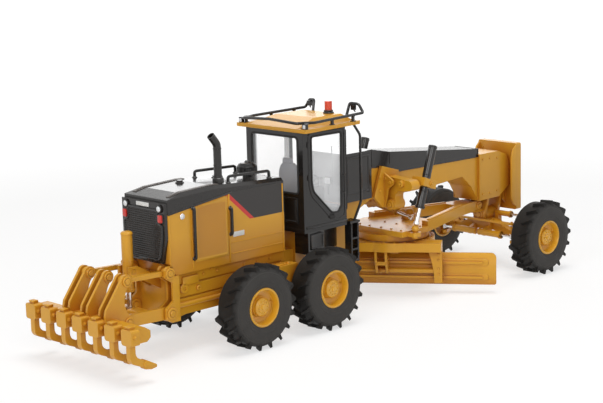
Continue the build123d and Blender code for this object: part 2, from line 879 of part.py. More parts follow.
WINDOW_Z0 = 46.4
WINDOW_Z1 = 66.2
with BuildPart(FRAME) as cab_shell:
    with BuildSketch(plan(CAB_Z0)):
        with BuildLine():
            Polyline(*CAB_PLAN, close=True)
        make_face()
    extrude(amount=CAB_Z1 - CAB_Z0)
    with BuildSketch(plan(CAB_Z0 + 1.5)):
        with BuildLine():
            Polyline(*CAB_PLAN, close=True)
        make_face()
        offset(amount=-CAB_WALL, kind=Kind.INTERSECTION, mode=Mode.REPLACE)
    extrude(amount=CAB_Z1 - CAB_Z0 - 1.5, mode=Mode.SUBTRACT)
    # rear window
    with BuildSketch(cross(CAB_REAR)):
        with Locations((0, (WINDOW_Z0 + WINDOW_Z1) / 2)):
            RectangleRounded(23.4, WINDOW_Z1 - WINDOW_Z0, 1.4)
    extrude(amount=4, both=True, mode=Mode.SUBTRACT)
    # door windows, both sides
    with BuildSketch(side()):
        with BuildLine():
            Polyline(
                (18.6, 66.2),
                (18.6, 50.0),
                (19.4, 46.8),
                (28.2, 38.2),
                (31.6, 38.0),
                (33.2, 40.0),
                (33.6, 66.2),
                close=True,
            )
        make_face()
        fillet(vertices(), radius=1.1)
    extrude(amount=20, both=True, mode=Mode.SUBTRACT)
    # corner and front windows
    with BuildSketch(cross(CAB_FRONT)):
        with Locations((0, 52.2)):
            RectangleRounded(19.6, 28.0, 1.4)
    extrude(amount=2, both=True, mode=Mode.SUBTRACT)
    for hand in (-1, 1):
        middle = ((CAB_SIDE_FRONT + CAB_FRONT) / 2, hand * (CAB_HALF + CAB_FRONT_HALF) / 2)
        corner = Plane(
            origin=(X_TANDEM + middle[0], middle[1], 52.2),
            x_dir=(CAB_FRONT - CAB_SIDE_FRONT, hand * (CAB_FRONT_HALF - CAB_HALF), 0),
            z_dir=(CAB_HALF - CAB_FRONT_HALF, hand * (CAB_FRONT - CAB_SIDE_FRONT), 0),
        )
        with BuildSketch(corner):
            RectangleRounded(3.0, 28.0, 1.0)
        extrude(amount=1.5, both=True, mode=Mode.SUBTRACT)
save(cab_shell.part, "cab_shell")

with BuildPart(FRAME) as glass:
    inner = CAB_WALL + 0.01
    with BuildSketch(cross(CAB_REAR + inner)):
        with Locations((0, (WINDOW_Z0 + WINDOW_Z1) / 2)):
            Rectangle(24.6, WINDOW_Z1 - WINDOW_Z0 + 1.2)
    extrude(amount=GLASS_T)
    for hand in (-1, 1):
        with BuildSketch(side(hand * (CAB_HALF - inner - GLASS_T / 2))):
            with BuildLine():
                Polyline(
                    (18.0, 66.8),
                    (18.0, 49.6),
                    (18.8, 46.2),
                    (27.9, 37.4),
                    (32.0, 37.2),
                    (33.8, 39.6),
                    (34.2, 66.8),
                    close=True,
                )
            make_face()
        extrude(amount=GLASS_T / 2, both=True)
    with BuildSketch(cross(CAB_FRONT - inner)):
        with Locations((0, 52.2)):
            Rectangle(20.2, 29.0)
    extrude(amount=-GLASS_T)
save(glass.part, "cab_glass")

ROOF_PLAN = ((13.0, 17.5), (13.0, -17.5), (42.5, -15.0), (42.5, 15.0))
with BuildPart(FRAME) as roof:
    with BuildSketch(plan(CAB_Z1)):
        with BuildLine():
            Polyline(*ROOF_PLAN, close=True)
        make_face()
    extrude(amount=ROOF_T)
    with BuildSketch(plan(CAB_Z1 + ROOF_T)):
        with BuildLine():
            Polyline((13.4, 13.0), (13.4, -13.0), (41.4, -12.6), (41.4, 12.6), close=True)
        make_face()
    with BuildSketch(plan(CAB_Z1 + ROOF_T + ROOF_CROWN)):
        with BuildLine():
            Polyline((25.0, 9.5), (25.0, -9.5), (38.5, -9.5), (38.5, 9.5), close=True)
        make_face()
    loft()
save(roof.part, "cab_roof")

with BuildPart(FRAME) as seat:
    floor = CAB_Z0 + 1.5
    with BuildSketch(plan(floor)):
        with Locations((24.0, 0)):
            Rectangle(7.0, 9.0)
    extrude(amount=5.0)
    with BuildSketch(plan(floor + 5.0)):
        with Locations((24.2, 0)):
            RectangleRounded(9.4, 9.8, 1.2)
    extrude(amount=2.6)
    with BuildSketch(side()):
        with BuildLine():
            Polyline(
                (19.6, floor + 5.4),
                (22.4, floor + 5.4),
                (21.4, floor + 19.6),
                (18.8, floor + 19.6),
                close=True,
            )
        make_face()
    extrude(amount=4.4, both=True)
    for hand in (-1, 1):
        with BuildSketch(plan(floor)):
            with Locations((26.4, hand * 7.4)):
                RectangleRounded(9.0, 2.6, 0.8)
        extrude(amount=11.4)
    with BuildSketch(plan(floor)):
        with Locations((34.2, 0)):
            Rectangle(3.0, 6.0)
    extrude(amount=9.0)
save(seat.part, "cab_seat")

with BuildPart(FRAME) as rails:
    top = CAB_Z1 + ROOF_T
    for hand in (-1, 1):
        with BuildLine() as route:
            FilletPolyline(
                (X_TANDEM + 12.5, hand * 0.0, top + 2.6),
                (X_TANDEM + 12.5, hand * 13.4, top + 2.0),
                (X_TANDEM + 19.0, hand * 16.0, top + 1.8),
                (X_TANDEM + 44.6, hand * 14.6, top + 2.4),
                (X_TANDEM + 44.6, hand * 12.4, top + 5.4),
                (X_TANDEM + 43.6, hand * 9.0, top + 5.6),
                (X_TANDEM + 41.95, hand * 8.4, top - 0.2),
                radius=0.8,
            )
        with BuildSketch(Plane(origin=route.wire() @ 0, z_dir=route.wire() % 0)):
            Circle(RAIL_R)
        sweep(path=route.wire())
        for x, y in ((15.0, 14.6), (28.0, 15.45), (39.0, 14.9)):
            with BuildSketch(plan(top)):
                with Locations((x, hand * y)):
                    Rectangle(1.0, 0.7)
            extrude(amount=2.2)
        with BuildLine() as tube:
            FilletPolyline(
                (X_TANDEM + 40.2, hand * 13.9, CAB_Z1),
                (X_TANDEM + 43.4, hand * 14.0, 64.0),
                (X_TANDEM + 43.8, hand * 13.6, 40.0),
                (X_TANDEM + 41.2, hand * 12.6, CAB_Z0 - 0.6),
                radius=1.0,
            )
        with BuildSketch(Plane(origin=tube.wire() @ 0, z_dir=tube.wire() % 0)):
            Circle(RAIL_R)
        sweep(path=tube.wire())
    # square cuts at the tubes' feet
    with BuildSketch(plan(CAB_Z0 - 2.6)):
        with Locations((41.0, 0)):
            Rectangle(6, 30)
    extrude(amount=2.0, mode=Mode.SUBTRACT)
    with BuildSketch(plan(CAB_Z1)):
        with BuildLine():
            Polyline(*ROOF_PLAN, close=True)
        make_face()
    extrude(amount=ROOF_T, mode=Mode.SUBTRACT)
save(rails.part, "roof_rails")

with BuildPart(FRAME) as beacon:
    with BuildSketch(plan(CAB_Z1 + ROOF_T + ROOF_CROWN)):
        with Locations((36.8, -5.0)):
            Circle(1.6)
    extrude(amount=1.2)
    with BuildSketch(plan(CAB_Z1 + ROOF_T + ROOF_CROWN + 1.2)):
        with Locations((36.8, -5.0)):
            Circle(1.35)
    extrude(amount=3.2)
save(beacon.part, "beacon")

with BuildPart(FRAME) as roof_lamps:
    for hand in (-1, 1):
        for x, y, lift in ((14.2, 16.2, 0.0), (43.4, 11.0, 3.3)):
            with BuildSketch(plan(CAB_Z1 + ROOF_T + lift)):
                with Locations((x, hand * y)):
                    Rectangle(1.2, 1.6)
            extrude(amount=1.7)
save(roof_lamps.part, "roof_lamps")

# Saddle under the boom with its two lift arms and the link bar
with BuildPart(FRAME) as saddle:
    for hand in (-1, 1):
        with BuildSketch(side(hand * (COVER_HALF + 0.75))):
            with BuildLine():
                Polyline(
                    (57.6, 38.4), (62.0, 49.6), (71.0, 47.0), (71.0, 37.0), (62.0, 34.0), close=True
                )
            make_face()
        extrude(amount=0.65, both=True)
        # lift arm: a bent lever from the boom's side to the yoke and down to the link bar
        with BuildSketch(cross(LEVER_X0)):
            with BuildLine():
                top_in = (hand * (COVER_HALF + 1.0), 45.4)
                top_out = (hand * (LIFT_Y + 0.3), LIFT_YOKE[1] + 1.9)
                low_out = (hand * (LIFT_Y - 0.3), LIFT_YOKE[1] - 1.9)
                elbow_out = (hand * (LIFT_Y - 4.0), 40.4)
                elbow_low = (hand * (BAR_Y + 2.0), 38.0)
                foot_out = (hand * (BAR_Y + 2.2), BAR_Z)
                foot_in = (hand * (BAR_Y - 2.2), BAR_Z)
                Line(top_in, top_out)
                ThreePointArc(top_out, (hand * (LIFT_Y + 1.9), LIFT_YOKE[1]), low_out)
                Line(low_out, elbow_out)
                ThreePointArc(elbow_out, (hand * (BAR_Y + 2.7), 39.6), elbow_low)
                Line(elbow_low, foot_out)
                ThreePointArc(foot_out, (hand * BAR_Y, BAR_Z - 2.2), foot_in)
                Polyline(foot_in, (hand * (COVER_HALF + 1.0), 39.0), top_in)
            make_face()
        extrude(amount=LEVER_X1 - LEVER_X0)
        # discs at the lever's foot and the ring boss of its socket
        with BuildSketch(cross(LEVER_X0 - 0.7)):
            with Locations((hand * BAR_Y, BAR_Z)):
                Circle(2.2)
                Circle(0.6, mode=Mode.SUBTRACT)
            with Locations((hand * (LIFT_Y - 3.2), 43.2)):
                Circle(1.35)
                Circle(0.75, mode=Mode.SUBTRACT)
        extrude(amount=0.9)
        with BuildSketch(cross(LEVER_X1)):
            with Locations((hand * BAR_Y, BAR_Z)):
                Circle(2.2)
        extrude(amount=0.8)
        # triangular cheek plate behind the lever, held by its two pins
        with BuildSketch(cross(CHEEK_X)):
            with BuildLine():
                cheek = (
                    (hand * (COVER_HALF + 0.8), 47.2),
                    (hand * (BAR_Y + 2.0), 44.9),
                    (hand * (BAR_Y + 2.2), 42.6),
                    (hand * (BAR_Y + 0.2), 41.0),
                    (hand * (BAR_Y - 1.4), BAR_Z - 1.0),
                    (hand * (BAR_Y - 3.0), BAR_Z - 1.0),
                )
                Line(cheek[0], cheek[1])
                ThreePointArc(cheek[1], (hand * (BAR_Y + 2.7), 43.7), cheek[2])
                Polyline(*cheek[2:], cheek[0])
            make_face()
        extrude(amount=CHEEK_T)
        with BuildSketch(cross(CHEEK_X - 0.3)):
            with Locations((hand * (BAR_Y - 1.2), 44.8), (hand * (BAR_Y + 1.2), 43.6)):
                Circle(0.6)
        extrude(amount=LEVER_X0 + 0.2 - CHEEK_X + 0.3)
    # link bar from foot to foot
    with BuildSketch(cross(LEVER_X0 + 0.4)):
        with Locations((0, BAR_Z)):
            Rectangle(2 * BAR_Y, 3.4)
    extrude(amount=LEVER_X1 - LEVER_X0 - 0.8)
    # pins that carry the lift yokes
    for hand in (-1, 1):
        with BuildSketch(cross(69.0)):
            with Locations((hand * LIFT_Y, LIFT_YOKE[1])):
                Circle(0.9)
        extrude(amount=LIFT_YOKE[0] - YOKE_HOLE - 0.4 - 69.0)
    # boss and pin that carry the shift cylinder
    with BuildSketch(cross(69.0)):
        with Locations(SHIFT_PIVOT[1:]):
            Circle(0.7)
    extrude(amount=SHIFT_EYE + 0.9 - 69.0)
    with BuildSketch(cross(SHIFT_EYE - FACE)):
        with Locations(SHIFT_PIVOT[1:]):
            Circle(1.1)
    extrude(amount=-(SHIFT_EYE - FACE - 69.0))
save(saddle.part, "saddle")


# Lift cylinders: a yoke on the arm's pin, the barrel's trunnions in the yoke
LIFT_RUN = (LIFT_YOKE[0] - LIFT_EYE[0], LIFT_YOKE[1] - LIFT_EYE[1])
LIFT_LENGTH = math.hypot(*LIFT_RUN)
LIFT_DIR = (LIFT_RUN[0] / LIFT_LENGTH, 0, LIFT_RUN[1] / LIFT_LENGTH)
LIFT_BALL_R = 1.4


def lift_plane(t=0.0, y=-LIFT_Y):
    """Plane across the right lift cylinder, t along it from the yoke, up."""
    return Plane(
        origin=(
            X_TANDEM + LIFT_YOKE[0] + t * LIFT_DIR[0],
            y,
            LIFT_YOKE[1] + t * LIFT_DIR[2],
        ),
        x_dir=(LIFT_DIR[2], 0, -LIFT_DIR[0]),
        z_dir=LIFT_DIR,
    )


with BuildPart() as lift_yoke:
    with BuildSketch(lift_plane(-YOKE_H)):
        with Locations((-0.6, 0)):
            Rectangle(2 * YOKE_HOLE + 2.9, 2 * (LIFT_R + 1.5))
        Rectangle(2 * YOKE_HOLE, 2 * (LIFT_R + 0.2), mode=Mode.SUBTRACT)
    extrude(amount=2 * YOKE_H)
    with BuildSketch(side(-LIFT_Y)):
        with Locations(LIFT_YOKE):
            Circle(0.6 + RUN)
    extrude(amount=5, both=True, mode=Mode.SUBTRACT)
    with BuildSketch(cross(LIFT_YOKE[0])):
        with Locations((-LIFT_Y, LIFT_YOKE[1])):
            Circle(0.9 + RUN)
    extrude(amount=-6, mode=Mode.SUBTRACT)
save(lift_yoke.part, "lift_yoke_right")
save(mirrored(lift_yoke.part), "lift_yoke_left")

with BuildPart() as lift_barrel:
    with BuildSketch(lift_plane(-LIFT_DOWN)):
        Circle(LIFT_R)
    extrude(amount=LIFT_DOWN + LIFT_UP)
    with BuildSketch(side(-LIFT_Y)):
        with Locations(LIFT_YOKE):
            Circle(0.6)
    extrude(amount=LIFT_R + 1.4, both=True)
    with BuildSketch(lift_plane(-LIFT_DOWN)):
        Circle(LIFT_ROD_R + RUN)
    extrude(amount=LIFT_DOWN + 10.6, mode=Mode.SUBTRACT)
save(lift_barrel.part, "lift_cylinder_right")
save(mirrored(lift_barrel.part), "lift_cylinder_left")

with BuildPart() as lift_rod:
    with BuildSketch(lift_plane(-LIFT_LENGTH + LIFT_BALL_R + FACE)):
        Circle(1.0)
    extrude(amount=0.9)
    with BuildSketch(lift_plane(-LIFT_LENGTH + LIFT_BALL_R + FACE)):
        Circle(LIFT_ROD_R)
    extrude(amount=LIFT_LENGTH - LIFT_BALL_R + 3.6)
save(lift_rod.part, "lift_rod_right")
save(mirrored(lift_rod.part), "lift_rod_left")


# Centre shift cylinder from the saddle to a ball on the drawbar
SHIFT_RUN = tuple(b - p for p, b in zip(SHIFT_PIVOT, SHIFT_BALL))
SHIFT_LENGTH = math.sqrt(sum(v * v for v in SHIFT_RUN))
SHIFT_DIR = tuple(v / SHIFT_LENGTH for v in SHIFT_RUN)
SHIFT_BALL_R = 1.2
SHIFT_GAP = 0.9


def shift_plane(t=0.0):
    """Plane across the shift cylinder, t along it from its pivot to the ball."""
    return Plane(
        origin=(
            X_TANDEM + SHIFT_PIVOT[0] + t * SHIFT_DIR[0],
            SHIFT_PIVOT[1] + t * SHIFT_DIR[1],
            SHIFT_PIVOT[2] + t * SHIFT_DIR[2],
        ),
        x_dir=(-SHIFT_DIR[1], SHIFT_DIR[0], 0),
        z_dir=SHIFT_DIR,
    )


with BuildPart() as shift_barrel:
    with BuildSketch(shift_plane(-5.0)):
        Circle(SHIFT_R)
    extrude(amount=15.6)
    with BuildSketch(cross(SHIFT_EYE)):
        with Locations(SHIFT_PIVOT[1:]):
            Circle(1.3)
    extrude(amount=1.5)
    with BuildSketch(shift_plane(-4.3)):
        Circle(SHIFT_ROD_R + RUN)
    extrude(amount=20, mode=Mode.SUBTRACT)
    with BuildSketch(cross(SHIFT_EYE)):
        with Locations(SHIFT_PIVOT[1:]):
            Circle(0.7 + RUN)
    extrude(amount=0.95, mode=Mode.SUBTRACT)
save(shift_barrel.part, "shift_cylinder")

with BuildPart() as shift_rod:
    with BuildSketch(shift_plane(2.7)):
        Circle(SHIFT_ROD_R)
    extrude(amount=SHIFT_LENGTH - SHIFT_BALL_R - SHIFT_GAP - 2.7)
    with BuildSketch(shift_plane(SHIFT_LENGTH - SHIFT_BALL_R - SHIFT_GAP)):
        Circle(1.2)
    extrude(amount=-0.8)
save(shift_rod.part, "shift_rod")


# Drawbar: gimbal ball, V beams with the rear platform, wear ring and shoes
with BuildPart(FRAME) as ball:
    with Locations((X_BALL, 0, BALL_Z)):
        Sphere(BALL_R)
        Cylinder(0.7, 2 * (BALL_R + FACE + 1.1))
        Cylinder(0.7, 2 * (BALL_R + FACE + 1.1), rotation=(90, 0, 0))
save(ball.part, "drawbar_ball")

PLATFORM_Z = 25.4
with BuildPart(FRAME) as drawbar:
    with BuildSketch(plan(DRAWBAR_Z0)):
        with BuildLine():
            Polyline(
                (120.2, 3.3),
                (112.0, 4.8),
                (78.0, 15.2),
                (63.5, 15.2),
                (63.5, -15.2),
                (78.0, -15.2),
                (112.0, -4.8),
                (120.2, -3.3),
                close=True,
            )
        make_face()
        with BuildLine():
            Polyline((109.0, 2.6), (89.0, 8.7), (89.0, -8.7), (109.0, -2.6), close=True)
        make_face(mode=Mode.SUBTRACT)
    extrude(amount=DRAWBAR_Z1 - DRAWBAR_Z0)
    with BuildSketch(plan(PLATFORM_Z)):
        with BuildLine():
            Polyline((95.0, 6.9), (78.0, 12.2), (78.0, -12.2), (95.0, -6.9), close=True)
        make_face()
        with Locations((67.5, 0)):
            Rectangle(21.0, 40.0)
    extrude(amount=5, mode=Mode.SUBTRACT)
    for hand in (-1, 1):
        with BuildSketch(side(hand * (BALL_R + FACE + 0.6))):
            with Locations((X_BALL, BALL_Z)):
                Circle(1.7)
            with Locations((X_BALL - 1.7, BALL_Z)):
                Rectangle(3.4, 3.4)
            with Locations((X_BALL, BALL_Z)):
                Circle(0.7 + RUN, mode=Mode.SUBTRACT)
        extrude(amount=0.6, both=True)
        # lift ball on its tab
        with BuildSketch(plan(DRAWBAR_Z0)):
            with Locations((LIFT_EYE[0], hand * (LIFT_Y - 1.6))):
                RectangleRounded(4.2, 6.4, 1.0)
        extrude(amount=1.6)
        with Locations((LIFT_EYE[0], hand * LIFT_Y, LIFT_EYE[1])):
            Sphere(LIFT_BALL_R)
        with BuildSketch(plan(DRAWBAR_Z0)):
            with Locations((LIFT_EYE[0], hand * LIFT_Y)):
                Circle(0.9)
        extrude(amount=LIFT_EYE[1] - DRAWBAR_Z0)
    # shift ball on its post
    with BuildSketch(plan(DRAWBAR_Z0)):
        with Locations(SHIFT_BALL[:2]):
            Circle(0.8)
    extrude(amount=SHIFT_BALL[2] - DRAWBAR_Z0)
    with Locations(SHIFT_BALL):
        Sphere(SHIFT_BALL_R)
    # circle drive
    with BuildSketch(plan(PLATFORM_Z)):
        with Locations((84.6, 0)):
            Circle(3.0)
    extrude(amount=1.8)
    with BuildSketch(plan(PLATFORM_Z)):
        with Locations((84.6, 0)):
            Circle(1.7)
    extrude(amount=3.4)
    # wear ring and the shoes that hold the circle
    with BuildSketch(plan(CIRCLE_Z1 + FACE)):
        with Locations((X_CIRCLE, 0)):
            Circle(14.0)
            Circle(9.6, mode=Mode.SUBTRACT)
    extrude(amount=DRAWBAR_Z0 - CIRCLE_Z1 - FACE)
    for angle in (45, 135, 225, 315):
        shoe = Plane(
            origin=(X_TANDEM + X_CIRCLE, 0, 0),
            x_dir=(math.cos(math.radians(angle)), math.sin(math.radians(angle)), 0),
            z_dir=(math.sin(math.radians(angle)), -math.cos(math.radians(angle)), 0),
        )
        with BuildSketch(shoe):
            with BuildLine():
                Polyline(
                    (9.6, DRAWBAR_Z0 - 1.0),
                    (CIRCLE_IN - FACE, DRAWBAR_Z0 - 1.0),
                    (CIRCLE_IN - FACE, CIRCLE_Z0 - FACE),
                    (CIRCLE_IN + 1.0, CIRCLE_Z0 - FACE),
                    (CIRCLE_IN + 1.0, CIRCLE_Z0 - FACE - 0.7),
                    (9.6, CIRCLE_Z0 - FACE - 0.7),
                    close=True,
                )
            make_face()
        extrude(amount=1.6, both=True)
save(drawbar.part, "drawbar")


# Circle with its rear beam and arms, in the blade's own turned frame
TURN = math.radians(BLADE_TURN)
CENTRE = (X_TANDEM + X_CIRCLE, 0)
AHEAD = (math.cos(TURN), math.sin(TURN), 0)
ALONG = (-math.sin(TURN), math.cos(TURN), 0)


def turned(z=0.0):
    """Plan plane in the blade's frame: x ahead of the blade, y along it."""
    return Plane(origin=(*CENTRE, z), x_dir=AHEAD, z_dir=(0, 0, 1))


def blade_cut(y=0.0):
    """Section plane of the blade at y along it: x ahead, z up."""
    return Plane(
        origin=(CENTRE[0] + y * ALONG[0], CENTRE[1] + y * ALONG[1], 0),
        x_dir=AHEAD,
        z_dir=(-ALONG[0], -ALONG[1], 0),
    )


def blade_view(x=0.0):
    """View plane of the blade's back at x ahead: y along the blade, z up."""
    return Plane(
        origin=(CENTRE[0] + x * AHEAD[0], CENTRE[1] + x * AHEAD[1], 0),
        x_dir=ALONG,
        z_dir=AHEAD,
    )


RAIL_BACK = BLADE_BACK - 0.9
ARM_X1 = RAIL_BACK - FACE
ARM_T = 2.4
SIDE_CYL = (ARM_X1 - 1.2, BLADE_MID_Z)
with BuildPart() as circle:
    with BuildSketch(turned(CIRCLE_Z0)):
        Circle(CIRCLE_R)
        with Locations((-11.9, 0)):
            Rectangle(6.2, 2 * 19.6)
        Circle(CIRCLE_IN, mode=Mode.SUBTRACT)
    extrude(amount=CIRCLE_Z1 - CIRCLE_Z0)
    for hand in (-1, 1):
        with BuildSketch(blade_view(ARM_X1)):
            with BuildLine():
                Line((hand * 19.6, CIRCLE_Z1), (hand * 19.6, 4.6))
                Line((hand * 19.6, 4.6), (hand * 16.6, 4.6))
                ThreePointArc(
                    (hand * 16.6, 4.6), (hand * 16.2, 10.0), (hand * 12.6, CIRCLE_Z1)
                )
                Line((hand * 12.6, CIRCLE_Z1), (hand * 19.6, CIRCLE_Z1))
            make_face()
        extrude(amount=-ARM_T)
        for z in RAIL_Z:
            for lip in (-1, 1):
                with BuildSketch(blade_cut(hand * 18.1)):
                    with Locations(
                        (ARM_X1 + 0.4, z + lip * (RAIL / 2 + 0.2 + 0.4))
                    ):
                        Rectangle(1.2, 0.8)
                extrude(amount=1.5, both=True)
    # centre bracket with the small cylinder between its plates
    for step in (-1.9, 1.9):
        with BuildSketch(blade_cut(BLADE_SHIFT + step)):
            with BuildLine():
                Polyline(
                    (-15.0, CIRCLE_Z1),
                    (-13.2, CIRCLE_Z1),
                    (-13.2, 15.8),
                    (-9.4, 13.4),
                    (-8.8, 8.2),
                    (-10.8, 8.2),
                    (-15.0, 14.0),
                    close=True,
                )
            make_face()
        extrude(amount=0.45, both=True)
    with BuildSketch(blade_view(-14.4)):
        with Locations((BLADE_SHIFT, 12.6)):
            Rectangle(3.8, 1.4)
    extrude(amount=4.4)
    with BuildSketch(blade_cut(-19.0)):
        with Locations(SIDE_CYL):
            Circle(0.95)
    extrude(amount=-23.6)
    with BuildSketch(blade_cut(-18.4)):
        with Locations(SIDE_CYL):
            Circle(0.5)
    extrude(amount=-40, mode=Mode.SUBTRACT)
    with BuildSketch(blade_cut(12.0)):
        with Locations(SIDE_CYL):
            Circle(0.8)
    extrude(amount=-9, mode=Mode.SUBTRACT)
save(circle.part, "circle")

with BuildPart() as blade:
    with BuildSketch(blade_cut(BLADE_SHIFT)):
        with BuildLine():
            ThreePointArc(
                (BLADE_TOP, BLADE_Z1), (BLADE_BACK + BLADE_T, BLADE_MID_Z), (BLADE_EDGE, BLADE_Z0)
            )
            Line((BLADE_EDGE, BLADE_Z0), (BLADE_EDGE - BLADE_T, BLADE_Z0))
            ThreePointArc(
                (BLADE_EDGE - BLADE_T, BLADE_Z0),
                (BLADE_BACK, BLADE_MID_Z),
                (BLADE_TOP - BLADE_T, BLADE_Z1),
            )
            Line((BLADE_TOP - BLADE_T, BLADE_Z1), (BLADE_TOP, BLADE_Z1))
        make_face()
    extrude(amount=BLADE_HALF, both=True)
    # rounded corners at both ends, larger at the top
    for end in (-1, 1):
        for z, up, r in ((BLADE_Z1, 1, 2.0), (BLADE_Z0, -1, 0.9)):
            centre = (BLADE_SHIFT + end * (BLADE_HALF - r), z - up * r)
            with BuildSketch(blade_view(BLADE_BACK - 0.5)):
                with Locations((centre[0] + end * r / 2, centre[1] + up * r / 2)):
                    Rectangle(r, r)
                with Locations(centre):
                    Circle(r, mode=Mode.SUBTRACT)
            extrude(amount=4.0, mode=Mode.SUBTRACT)
    for z in RAIL_Z:
        with BuildSketch(blade_cut(BLADE_SHIFT)):
            with Locations(((RAIL_BACK + BLADE_BACK + 0.6) / 2, z)):
                Rectangle(BLADE_BACK + 0.6 - RAIL_BACK, RAIL)
        extrude(amount=BLADE_HALF - 5.0, both=True)
    # side shift rod and its lug
    with BuildSketch(blade_cut(31.6)):
        with Locations(((SIDE_CYL[0] - 0.8 + BLADE_BACK + 0.4) / 2, SIDE_CYL[1])):
            Rectangle(BLADE_BACK + 0.4 - SIDE_CYL[0] + 0.8, 2.0)
    extrude(amount=0.5, both=True)
    with BuildSketch(blade_cut(-7.2)):
        with Locations(SIDE_CYL):
            Circle(0.45)
    extrude(amount=-38.8)
save(blade.part, "moldboard")


# Front axle with the barrels of its cylinders
with BuildPart(FRAME) as axle:
    with BuildSketch(cross(X_AXLE)):
        with BuildLine():
            Polyline(
                (-LEAN_Y, 12.8),
                (-11.0, 12.8),
                (-5.0, 14.4),
                (5.0, 14.4),
                (11.0, 12.8),
                (LEAN_Y, 12.8),
                (LEAN_Y, 15.5),
                (12.4, 15.5),
                (5.0, 18.8),
                (-5.0, 18.8),
                (-12.4, 15.5),
                (-LEAN_Y, 15.5),
                close=True,
            )
        make_face()
        with Locations((-LEAN_Y, WHEEL_Z), (LEAN_Y, WHEEL_Z)):
            Circle(1.75)
            Circle(LEAN_PIN_R + RUN, mode=Mode.SUBTRACT)
    extrude(amount=1.5, both=True)
    with BuildSketch(cross(X_AXLE)):
        with Locations((0, AXLE_PIN_Z)):
            Circle(3.0)
        with Locations((0, 16.8)):
            Rectangle(9.0, 4.4)
    extrude(amount=2.9, both=True)
    with BuildSketch(cross(X_AXLE)):
        with Locations((0, AXLE_PIN_Z)):
            Circle(AXLE_PIN_R + RUN)
    extrude(amount=6, both=True, mode=Mode.SUBTRACT)
    for hand in (-1, 1):
        with BuildSketch(side(hand * 3.6)):
            with BuildLine():
                Polyline(
                    (X_AXLE - ARM_BACK - 0.6, STEER_CYL_Z - 1.3),
                    (X_AXLE - ARM_BACK - 0.6, STEER_CYL_Z + 1.3),
                    (X_AXLE - 1.0, 17.0),
                    (X_AXLE - 1.0, 14.6),
                    close=True,
                )
            make_face()
        extrude(amount=0.8, both=True)
        with BuildSketch(side(hand * 1.0)):
            with Locations((X_AXLE - ARM_BACK, STEER_CYL_Z)):
                Circle(1.3)
        extrude(amount=-hand * 11.2)
        with BuildSketch(side(hand * 3.2)):
            with Locations((X_AXLE - ARM_BACK, STEER_CYL_Z)):
                Circle(0.55 + RUN)
        extrude(amount=-hand * 10.4, mode=Mode.SUBTRACT)
    with BuildSketch(side(-4.6)):
        with Locations((LEAN_CYL_X, 19.0)):
            Rectangle(2.2, 4.4)
    extrude(amount=0.9, both=True)
    with BuildSketch(side(-3.6)):
        with Locations((LEAN_CYL_X, LEAN_CYL_Z)):
            Circle(1.1)
    extrude(amount=7.8)
    with BuildSketch(side(-5.4)):
        with Locations((LEAN_CYL_X, LEAN_CYL_Z)):
            Circle(0.5 + RUN)
    extrude(amount=8, mode=Mode.SUBTRACT)
save(axle.part, "front_axle")

with BuildPart(FRAME) as steering_rods:
    for hand in (-1, 1):
        with BuildSketch(side(hand * 7.4)):
            with Locations((X_AXLE - ARM_BACK, STEER_CYL_Z)):
                Circle(0.55)
        extrude(amount=-hand * (KING_Y - ARM_IN - 7.4))
        with BuildSketch(plan(STEER_CYL_Z - 0.85)):
            with Locations((X_AXLE - ARM_BACK, hand * (KING_Y - ARM_IN))):
                Circle(0.8)
        extrude(amount=1.7)
save(steering_rods.part, "steering_rods")

TIE_Z0 = WHEEL_Z + KNUCKLE_HALF + 1.5 * FACE
with BuildPart(FRAME) as tie_rod:
    with BuildSketch(plan(TIE_Z0)):
        with Locations((X_AXLE - ARM_BACK, 0)):
            SlotCenterToCenter(2 * (KING_Y - ARM_IN), 1.1, rotation=90)
        with Locations(
            (X_AXLE - ARM_BACK, KING_Y - ARM_IN), (X_AXLE - ARM_BACK, ARM_IN - KING_Y)
        ):
            Circle(0.8)
    extrude(amount=0.9)
save(tie_rod.part, "tie_rod")

BAR_Z = 15.9
with BuildPart(FRAME) as lean_bar:
    with BuildSketch(plan(BAR_Z)):
        with Locations((LEAN_BAR_X, 0)):
            SlotCenterToCenter(2 * LEAN_Y, 1.0, rotation=90)
        with Locations((LEAN_BAR_X, LEAN_Y), (LEAN_BAR_X, -LEAN_Y)):
            Circle(0.8)
    extrude(amount=1.0)
save(lean_bar.part, "lean_bar")

POST_IN = 16.4
with BuildPart(FRAME) as lean_rod:
    with BuildSketch(side(-8.0)):
        with Locations((LEAN_CYL_X, LEAN_CYL_Z)):
            Circle(0.5)
    extrude(amount=POST_IN - 0.4 - 8.0)
save(lean_rod.part, "lean_rod")

